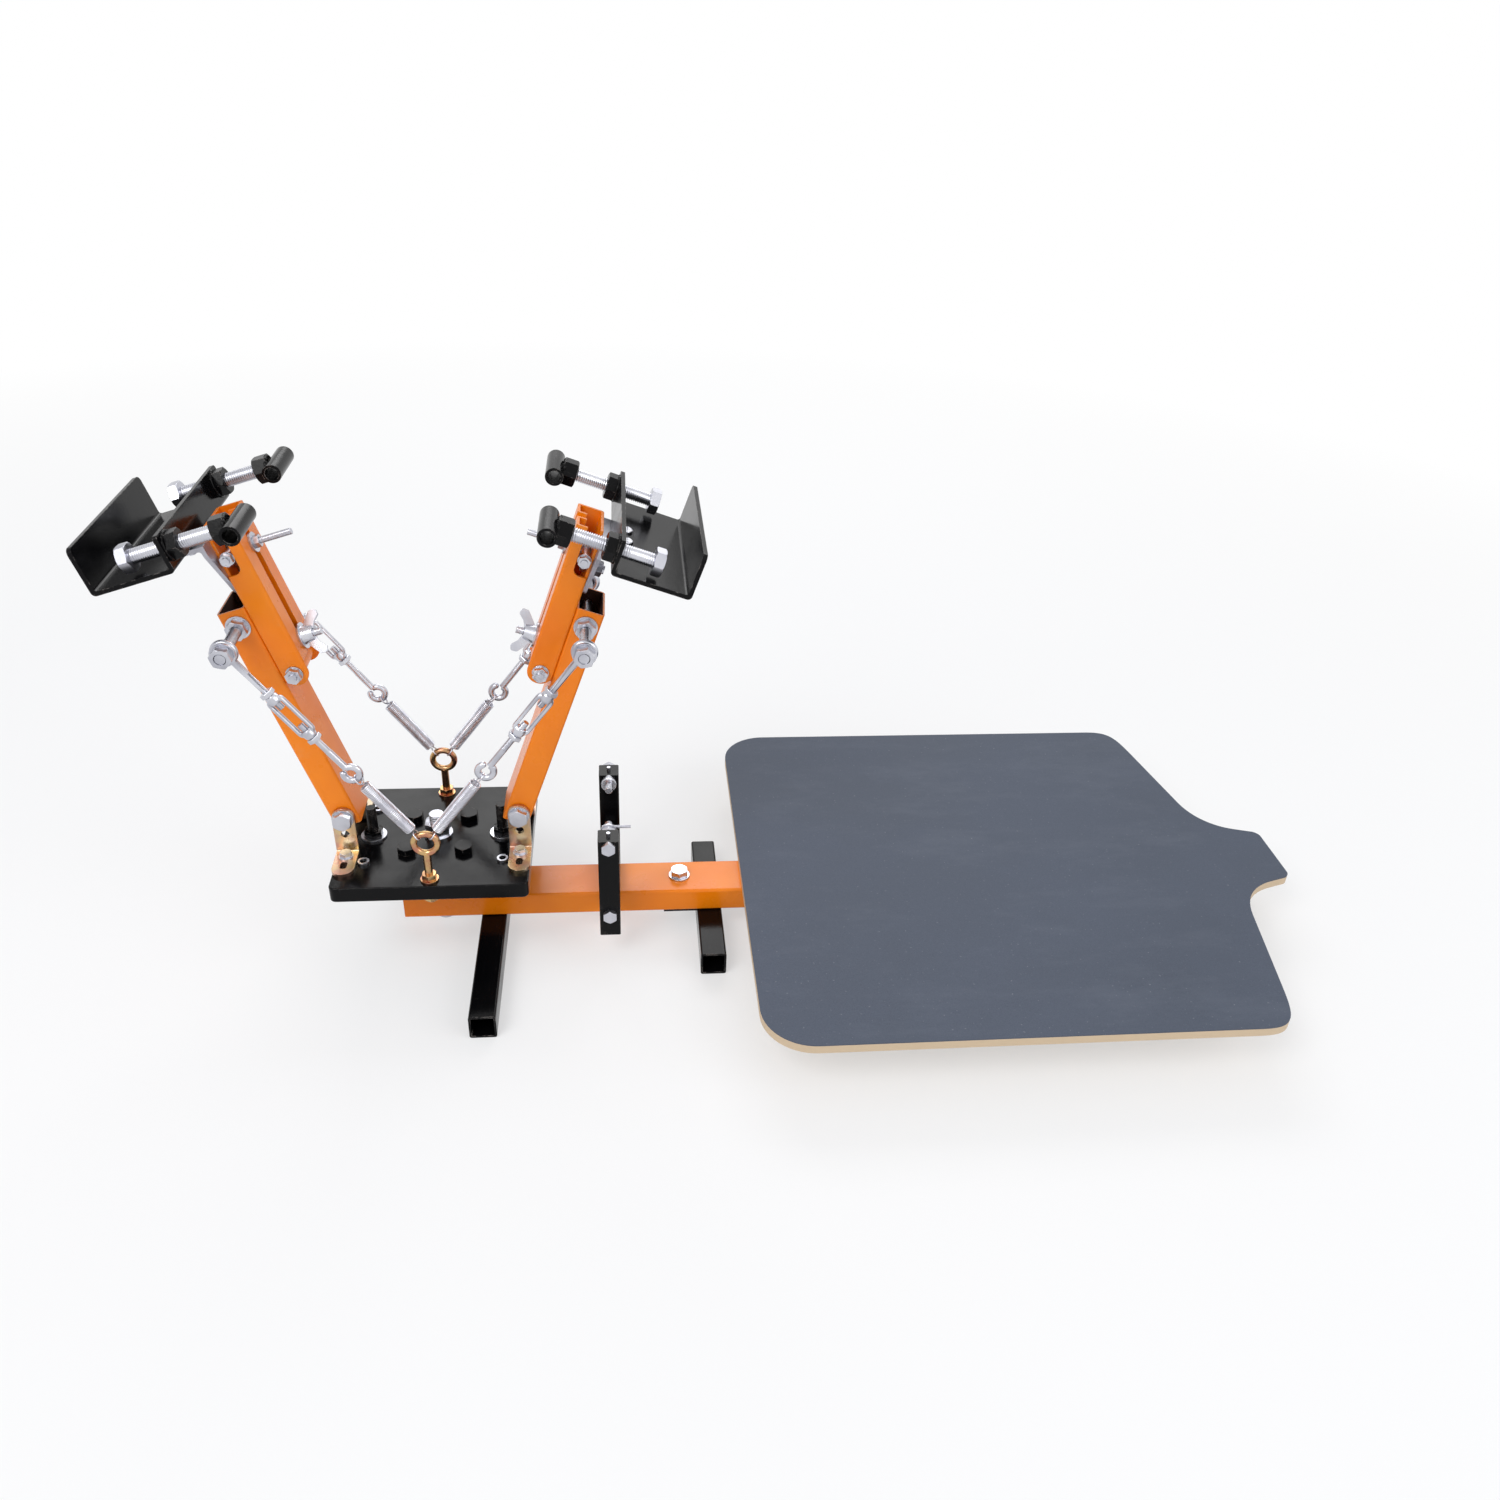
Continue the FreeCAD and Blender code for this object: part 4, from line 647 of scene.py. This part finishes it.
def copy_of_node(name):
    """A merged copy of a CAD node's mesh, with the creases that its flat faces need."""
    bm = bmesh.new()
    bm.from_mesh(nodes[name].data)
    bmesh.ops.remove_doubles(bm, verts=bm.verts, dist=MERGE * MM)
    for face in bm.faces:
        face.smooth = True
    for edge in bm.edges:
        edge.smooth = len(edge.link_faces) == 2 and edge.calc_face_angle() < math.radians(CREASE_ANGLE)
    return bm


def cut_away_shank(bm, radius, start, end):
    """Takes a plain shank's faces off a copied node, to make room for a thread, and closes the holes."""
    axis = (end - start).normalized()
    length = (end - start).length
    reach = (radius + THREAD_UNDER) * MM
    near = set()
    for vert in bm.verts:
        spoke = vert.co - start * MM
        along = spoke.dot(axis)
        if -NEAR * MM <= along <= (length + NEAR) * MM and (spoke - axis * along).length < reach:
            near.add(vert)
    shank = [f for f in bm.faces if all(v in near for v in f.verts)]
    bmesh.ops.delete(bm, geom=shank, context="FACES")
    bmesh.ops.holes_fill(bm, edges=[e for e in bm.edges if e.is_boundary])


def threaded_node(name, finish, body, shanks):
    """A CAD node again, with real threads on its shanks. A shank is a thread, a start and an end."""
    bm = copy_of_node(name)
    for thread, start, end in shanks:
        cut_away_shank(bm, thread[0], start, end)
    for thread, start, end in shanks:
        add_thread(bm, thread, start, end)
    make_piece(name + "_threaded", bm, finish, body, (name,))


def add_rod(bm, radius, start, end):
    """A plain round bar with closed ends."""
    made = bmesh.new()
    length = (end - start).length * MM
    bmesh.ops.create_cone(
        made, cap_ends=True, segments=24, radius1=radius * MM, radius2=radius * MM, depth=length,
        matrix=Matrix.Translation((0, 0, length / 2)))
    for face in made.faces:
        face.smooth = len(face.verts) == 4
    bmesh.ops.transform(made, matrix=aim(start, end - start), verts=made.verts)
    append_bmesh(bm, made)


def to_machine(place, w, y, u):
    """A point in an arm's own millimetres, in the machine's millimetres."""
    return place @ (Vector((w, y, u)) * MM) / MM


# Clamp screws, with their welds

for side in OUTWARD:
    place = arm_frame(side)
    out = place.to_3x3() @ X_AXIS
    welds = bmesh.new()
    for end, across in FRONT_REAR.items():
        y = across * OUTWARD[side] * SCREW_Y
        seat = to_machine(place, SCREW_SEAT_W, y, SCREW_U)
        tip = to_machine(place, SCREW_END_W, y, SCREW_U)
        name = side + "_" + end
        threaded_node(
            name + "_clamp_screw", ZINC, name + "_screw", [(SCREW_THREAD, seat, tip)])
        handle_weld = bmesh.new()
        add_weld(handle_weld, HANDLE_WELD, to_machine(place, HANDLE_WELD_W, y, SCREW_U), out, across)
        make_piece(name + "_handle_weld", handle_weld, BLACK, name + "_screw")
        add_weld(welds, JAW_WELD, to_machine(place, JAW_WELD_W, y, SCREW_U), out, 2 * across)
    make_piece(side + "_jaw_welds", welds, BLACK, side + "_arm")


# Spring rods, threaded from end to end

for side in OUTWARD:
    place = arm_frame(side)
    half = EYE_BOLT_Y + LINE_WIRE_R + LINE_EYE_GAP + WASHER_T + M8_NUT - ROD_SHORT_OF_NUT
    threaded_node(
        side + "_spring_rod", ZINC, side + "_arm",
        [(ROD_THREAD, to_machine(place, 0, -half, ROD_U), to_machine(place, 0, half, ROD_U))])


# Turnbuckles: a forged open body, lock nuts, and shanks that are threaded where they run in the body


def melted(bm):
    """Overlapping closed shapes as one soft skin."""
    mesh = bpy.data.meshes.new("melt")
    bm.to_mesh(mesh)
    bm.free()
    holder = bpy.data.objects.new("melt", mesh)
    bpy.context.scene.collection.objects.link(holder)
    step = holder.modifiers.new("melt", "REMESH")
    step.mode = "VOXEL"
    step.voxel_size = MELT_VOXEL * MM
    graph = bpy.context.evaluated_depsgraph_get()
    skin = bpy.data.meshes.new_from_object(holder.evaluated_get(graph))
    bpy.data.objects.remove(holder)
    bm = bmesh.new()
    bm.from_mesh(skin)
    bpy.data.meshes.remove(skin)
    for _ in range(MELT_ROUNDS):
        bmesh.ops.smooth_vert(
            bm, verts=bm.verts, factor=0.5, use_axis_x=True, use_axis_y=True, use_axis_z=True)
    for face in bm.faces:
        face.smooth = True
    return bm


def extend(bm, edges, step):
    """Extrudes a loop of edges by a step and gives the new loop."""
    made = bmesh.ops.extrude_edge_only(bm, edges=edges)["geom"]
    bmesh.ops.translate(bm, vec=step * MM, verts=[g for g in made if isinstance(g, bmesh.types.BMVert)])
    return [g for g in made if isinstance(g, bmesh.types.BMEdge) and g.is_boundary]


def turned(bm, edges, centre):
    """Sweeps a loop a quarter turn about local Y and gives the new loop."""
    verts = list({v for e in edges for v in e.verts})
    last = bmesh.ops.spin(
        bm, geom=verts + edges, cent=centre * MM, axis=Y_AXIS, angle=math.pi / 2, steps=6)["geom_last"]
    return [g for g in last if isinstance(g, bmesh.types.BMEdge)]


def forged_body():
    """The open body along local X: a ring of flattened round bar, and a boss at each end."""
    middle = FRAME_START + FRAME_LEN / 2
    reach = (FRAME_LEN - FRAME_BOSS) / 2
    low = RAIL_SPAN - RAIL_CORNER
    bm = bmesh.new()
    section = bmesh.ops.create_circle(bm, segments=14, radius=1.0)["verts"]
    stand = Matrix((Z_AXIS * RAIL_HALF_W, Y_AXIS * RAIL_HALF_T, X_AXIS)).transposed().to_4x4()
    raised = Matrix.Translation(Z_AXIS * (RAIL_SPAN * MM))
    bmesh.ops.transform(bm, matrix=raised @ Matrix.Scale(MM, 4) @ stand, verts=section)
    loop = extend(bm, bm.edges[:], X_AXIS * (reach - RAIL_CORNER))
    loop = turned(bm, loop, Vector((reach - RAIL_CORNER, 0, low)))
    loop = extend(bm, loop, Z_AXIS * (-2 * low))
    loop = turned(bm, loop, Vector((reach - RAIL_CORNER, 0, -low)))
    extend(bm, loop, X_AXIS * (RAIL_CORNER - reach))
    inner, outer = reach - FRAME_BOSS / 2, reach + FRAME_BOSS / 2
    boss = [(inner, 0), (inner, BOSS_END_R), (reach - BOSS_HALF_FLAT, BOSS_R)]
    boss += [(reach + BOSS_HALF_FLAT, BOSS_R), (outer, BOSS_END_R), (outer, 0)]
    outline = [bm.verts.new((x * MM, 0, r * MM)) for x, r in boss]
    edges = [bm.edges.new(pair) for pair in zip(outline, outline[1:])]
    bmesh.ops.spin(
        bm, geom=outline + edges, cent=(0, 0, 0), axis=X_AXIS, angle=math.tau, steps=32, use_merge=True)
    bmesh.ops.mirror(bm, geom=bm.verts[:] + bm.edges[:] + bm.faces[:], axis="X", merge_dist=0)
    bmesh.ops.remove_doubles(bm, verts=bm.verts, dist=0.01 * MM)
    bmesh.ops.recalc_face_normals(bm, faces=bm.faces)
    bmesh.ops.translate(bm, vec=X_AXIS * (middle * MM), verts=bm.verts)
    return melted(bm)


def add_lock_nut(bm, start):
    """A hexagon nut on local X with its corners eased."""
    made = bmesh.new()
    radius = LOCK_NUT_AF / 2 / math.cos(math.pi / 6) * MM
    bmesh.ops.create_cone(
        made, cap_ends=True, segments=6, radius1=radius, radius2=radius, depth=LOCK_NUT_H * MM)
    rims = [e for e in made.edges if abs(e.verts[0].co.z - e.verts[1].co.z) < 0.1 * MM]
    bmesh.ops.bevel(
        made, geom=rims, offset=LOCK_NUT_EASE * MM, affect="EDGES", segments=2, profile=0.5, material=-1)
    bmesh.ops.rotate(made, cent=(0, 0, 0), matrix=Matrix.Rotation(math.pi / 2, 3, "Y"), verts=made.verts)
    bmesh.ops.translate(made, vec=X_AXIS * ((start + LOCK_NUT_H / 2) * MM), verts=made.verts)
    append_bmesh(bm, made)


def take_off_body(bm, place):
    """Takes the plain body and nuts off a copied turnbuckle, and leaves its wires."""
    inward = place.inverted()
    low = (FRAME_START - LOCK_NUT_H - NEAR) * MM
    high = (FRAME_START + FRAME_LEN + LOCK_NUT_H + NEAR) * MM
    plain = []
    for vert in bm.verts:
        local = inward @ vert.co
        if low < local.x < high and math.hypot(local.y, local.z) > (LINE_WIRE_R + NEAR) * MM:
            plain.append(vert)
    bmesh.ops.delete(bm, geom=plain, context="VERTS")


body_and_nuts = forged_body()
add_lock_nut(body_and_nuts, FRAME_START - LOCK_NUT_H)
add_lock_nut(body_and_nuts, FRAME_START + FRAME_LEN)

for side in OUTWARD:
    for end in FRONT_REAR:
        place = line_frame(side, end)[0]
        name = side + "_" + end + "_turnbuckle"
        bm = copy_of_node(name)
        take_off_body(bm, place)
        placed = body_and_nuts.copy()
        bmesh.ops.transform(placed, matrix=place, verts=placed.verts)
        append_bmesh(bm, placed)
        eye_root, eye_thread, eye_end = (to_machine(place, s, 0, 0) for s in EYE_SHANK)
        hook_end, hook_thread, hook_root = (to_machine(place, s, 0, 0) for s in HOOK_SHANK)
        cut_away_shank(bm, LINE_WIRE_R, eye_root, eye_end)
        cut_away_shank(bm, LINE_WIRE_R, hook_end, hook_root)
        add_rod(bm, LINE_WIRE_R, eye_root, eye_thread)
        add_thread(bm, LINE_THREAD, eye_thread, eye_end, LINE_THREAD_STEPS)
        add_thread(bm, LINE_THREAD, hook_end, hook_thread, LINE_THREAD_STEPS)
        add_rod(bm, LINE_WIRE_R, hook_thread, hook_root)
        make_piece(name + "_threaded", bm, ZINC, side + "_lines", (name,))
body_and_nuts.free()


# Head, gate and arm screws with cut threads

ends = [Vector((HEAD_X, 0, z)) for z in CENTRE_BOLT_Z]
threaded_node("centre_bolt", ZINC, "base", [(CENTRE_THREAD, *ends)])

studs = []
for sign in OUTWARD.values():
    x = HEAD_X + sign * STOP_X
    top = max(v.co.z for v in nodes["stop_bolts"].data.vertices if abs(v.co.x / MM - x) < STOP_REACH) / MM
    studs.append((STOP_THREAD, Vector((x, 0, STOP_LOW_Z)), Vector((x, 0, top))))
threaded_node("stop_bolts", BLACK, "head", studs)

screws = []
for sign in FRONT_REAR.values():
    ends = [Vector((GATE_X, sign * y, GATE_SCREW_Z)) for y in GATE_SCREW_Y]
    screws.append((SMALL_THREAD, *ends))
threaded_node("gate_screws", ZINC, "base", screws)

for side in OUTWARD:
    place = arm_frame(side)
    wing = [to_machine(place, w, 0, WING_U) for w in WING_BOLT_W]
    lever = [to_machine(place, w, 0, LEVER_U) for w in LEVER_W]
    shanks = [(SMALL_THREAD, *wing), (LEVER_THREAD, *lever)]
    threaded_node(side + "_arm_hardware", ZINC, side + "_arm", shanks)


# Springs, wound from wire, with a hook at each end


def hook_curve(points):
    """A bent wire end along a smooth line."""
    curve = bpy.data.curves.new("hook", "CURVE")
    curve.dimensions = "3D"
    curve.bevel_depth = SPRING_WIRE_R * MM
    curve.bevel_resolution = 3
    curve.resolution_u = 6
    curve.use_fill_caps = True
    line = curve.splines.new("NURBS")
    line.points.add(len(points) - 1)
    for spot, point in zip(line.points, points):
        spot.co = (*(Vector(point) * MM), 1)
    line.order_u = 4
    line.use_endpoint_u = True
    holder = bpy.data.objects.new("hook", curve)
    bpy.context.scene.collection.objects.link(holder)
    mesh = bpy.data.meshes.new_from_object(holder)
    bpy.data.objects.remove(holder)
    return mesh


def hook_points(root, sign, centre, first, last):
    """A wire end: it runs in from the coil and then round a ring about local Z, by angles in degrees."""
    radius = SPRING_R - SPRING_WIRE_R
    points = [(root + sign * s, radius - y, sign * z) for s, y, z in SPRING_RISE]
    for i in range(HOOK_POINTS + 1):
        a = math.radians(first + (last - first) * i / HOOK_POINTS)
        points.append((centre + SPRING_LOOP_R * math.cos(a), SPRING_LOOP_R * math.sin(a), 0))
    return points


def spring_bmesh(coil_end, loop_s):
    """The coil and both its hooks, along local X. Each hook bears on the wire or ring that holds it."""
    bm = bmesh.new()
    first_turn = SPRING_START + SPRING_WIRE_R
    last_turn = coil_end - SPRING_WIRE_R
    length = coil_end - SPRING_START - 2 * SPRING_WIRE_R
    turns = round(length / COIL_PITCH)
    wire = bmesh.ops.create_circle(bm, segments=8, radius=SPRING_WIRE_R * MM)["verts"]
    turn = Matrix((Y_AXIS, X_AXIS, Z_AXIS)).transposed().to_4x4()
    turn.translation = Vector((first_turn, SPRING_R - SPRING_WIRE_R, 0)) * MM
    bmesh.ops.transform(bm, matrix=turn, verts=wire)
    wind(bm, X_AXIS * (length / turns * MM), turns, COIL_STEPS)
    bmesh.ops.holes_fill(bm, edges=[e for e in bm.edges if e.is_boundary])
    bearing = SPRING_LOOP_R - SPRING_WIRE_R - LINE_WIRE_R
    upper = hook_points(first_turn, -1, HOOK_S + HOOK_R + bearing, 20, 350)
    lower = hook_points(last_turn, 1, loop_s - bearing, 160, -170)
    for points in (upper, lower):
        mesh = hook_curve(points)
        bm.from_mesh(mesh)
        bpy.data.meshes.remove(mesh)
    bmesh.ops.recalc_face_normals(bm, faces=bm.faces)
    for face in bm.faces:
        face.smooth = True
    return bm


for side in OUTWARD:
    for end in FRONT_REAR:
        place, length = line_frame(side, end)
        coil_end = length - SPRING_TAIL
        bm = spring_bmesh(coil_end, length - EYE_RING_R)
        bmesh.ops.transform(bm, matrix=place, verts=bm.verts)
        spring = make_piece(
            side + "_" + end + "_coil", bm, SPRING_ZINC, None,
            (side + "_" + end + "_spring", side + "_spring_loops"))
        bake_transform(spring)


# Studio and camera


def seen_directly(tree):
    """Whether a ray comes from the camera, a reflection or a clear surface."""
    path = shader(tree, "LightPath").outputs
    seen = math_node(tree, "ADD", path["Is Camera Ray"], path["Is Glossy Ray"])
    return math_node(tree, "ADD", seen, path["Is Transmission Ray"], clamp=True)


def make_floor():
    """A pale floor that keeps the object's shadow and fades to plain white far out."""
    bm = bmesh.new()
    bmesh.ops.create_grid(bm, x_segments=1, y_segments=1, size=FLOOR_HALF)
    bmesh.ops.translate(bm, vec=(0, 0, -FLOOR_DROP), verts=bm.verts)
    mesh = bpy.data.meshes.new("floor")
    bm.to_mesh(mesh)
    bm.free()
    tree = empty_material("pale_floor")
    place = shader(tree, "TexCoord").outputs["Object"]
    distance = shader(tree, "VectorMath", {0: place}, operation="LENGTH").outputs["Value"]
    fade = remap(tree, distance, *FLOOR_FADE, 0.5, 1.0)
    matt = shader(tree, "BsdfPrincipled", {"Base Color": (0.86, 0.86, 0.86, 1), "Roughness": 0.8})
    white = shader(tree, "Emission", {"Color": (1, 1, 1, 1), "Strength": 1.0})
    blend = shader(tree, "MixShader", {
        0: math_node(tree, "MULTIPLY", fade, seen_directly(tree)), 1: matt.outputs[0], 2: white.outputs[0],
    })
    tree.links.new(blend.outputs[0], shader(tree, "OutputMaterial").inputs["Surface"])
    floor = bpy.data.objects.new("floor", mesh)
    floor.data.materials.append(bpy.data.materials["pale_floor"])
    bpy.context.scene.collection.objects.link(floor)


def make_world():
    """A cool, even sky light behind a background that looks plain white."""
    world = bpy.data.worlds.new("studio")
    bpy.context.scene.world = world
    world.use_nodes = True
    tree = world.node_tree
    tree.nodes.clear()
    plain = shader(tree, "Background", {"Color": (0.93, 0.95, 1.0, 1), "Strength": 0.55})
    white = shader(tree, "Background", {"Color": (1, 1, 1, 1), "Strength": 1.0})
    blend = shader(tree, "MixShader", {0: seen_directly(tree), 1: plain.outputs[0], 2: white.outputs[0]})
    tree.links.new(blend.outputs[0], shader(tree, "OutputWorld").inputs["Surface"])


def make_lamp(name, place, target, size, power):
    """A white panel lamp that faces its target."""
    lamp = bpy.data.lights.new(name, "AREA")
    lamp.shape = "RECTANGLE"
    lamp.size, lamp.size_y = size
    lamp.energy = power
    holder = bpy.data.objects.new(name, lamp)
    holder.location = place
    aim_at = Vector(target) - Vector(place)
    holder.rotation_euler = aim_at.to_track_quat("-Z", "Y").to_euler()
    bpy.context.scene.collection.objects.link(holder)


def make_camera():
    """The photograph's camera: its axes are worked out from heading, pitch and roll."""
    heading = math.radians(CAMERA_HEADING)
    pitch = math.radians(CAMERA_PITCH)
    roll = math.radians(CAMERA_ROLL)
    level = Vector((math.cos(heading), -math.sin(heading), 0))
    ahead = Vector((
        math.sin(heading) * math.cos(pitch), math.cos(heading) * math.cos(pitch), -math.sin(pitch)))
    upright = level.cross(ahead)
    right = level * math.cos(roll) + upright * math.sin(roll)
    up = upright * math.cos(roll) - level * math.sin(roll)
    data = bpy.data.cameras.new("photo_camera")
    data.sensor_fit = "HORIZONTAL"
    data.sensor_width = SENSOR_MM
    data.lens = FOCAL_PX / PHOTO_SIZE * SENSOR_MM
    data.clip_start = 0.01
    camera = bpy.data.objects.new("photo_camera", data)
    place = Matrix((right, up, -ahead)).transposed().to_4x4()
    place.translation = CAMERA_PLACE
    camera.matrix_world = place
    bpy.context.scene.collection.objects.link(camera)
    bpy.context.scene.camera = camera


make_floor()
make_world()
for lamp in LAMPS:
    make_lamp(*lamp)
make_camera()
bpy.context.scene.view_settings.view_transform = "Standard"
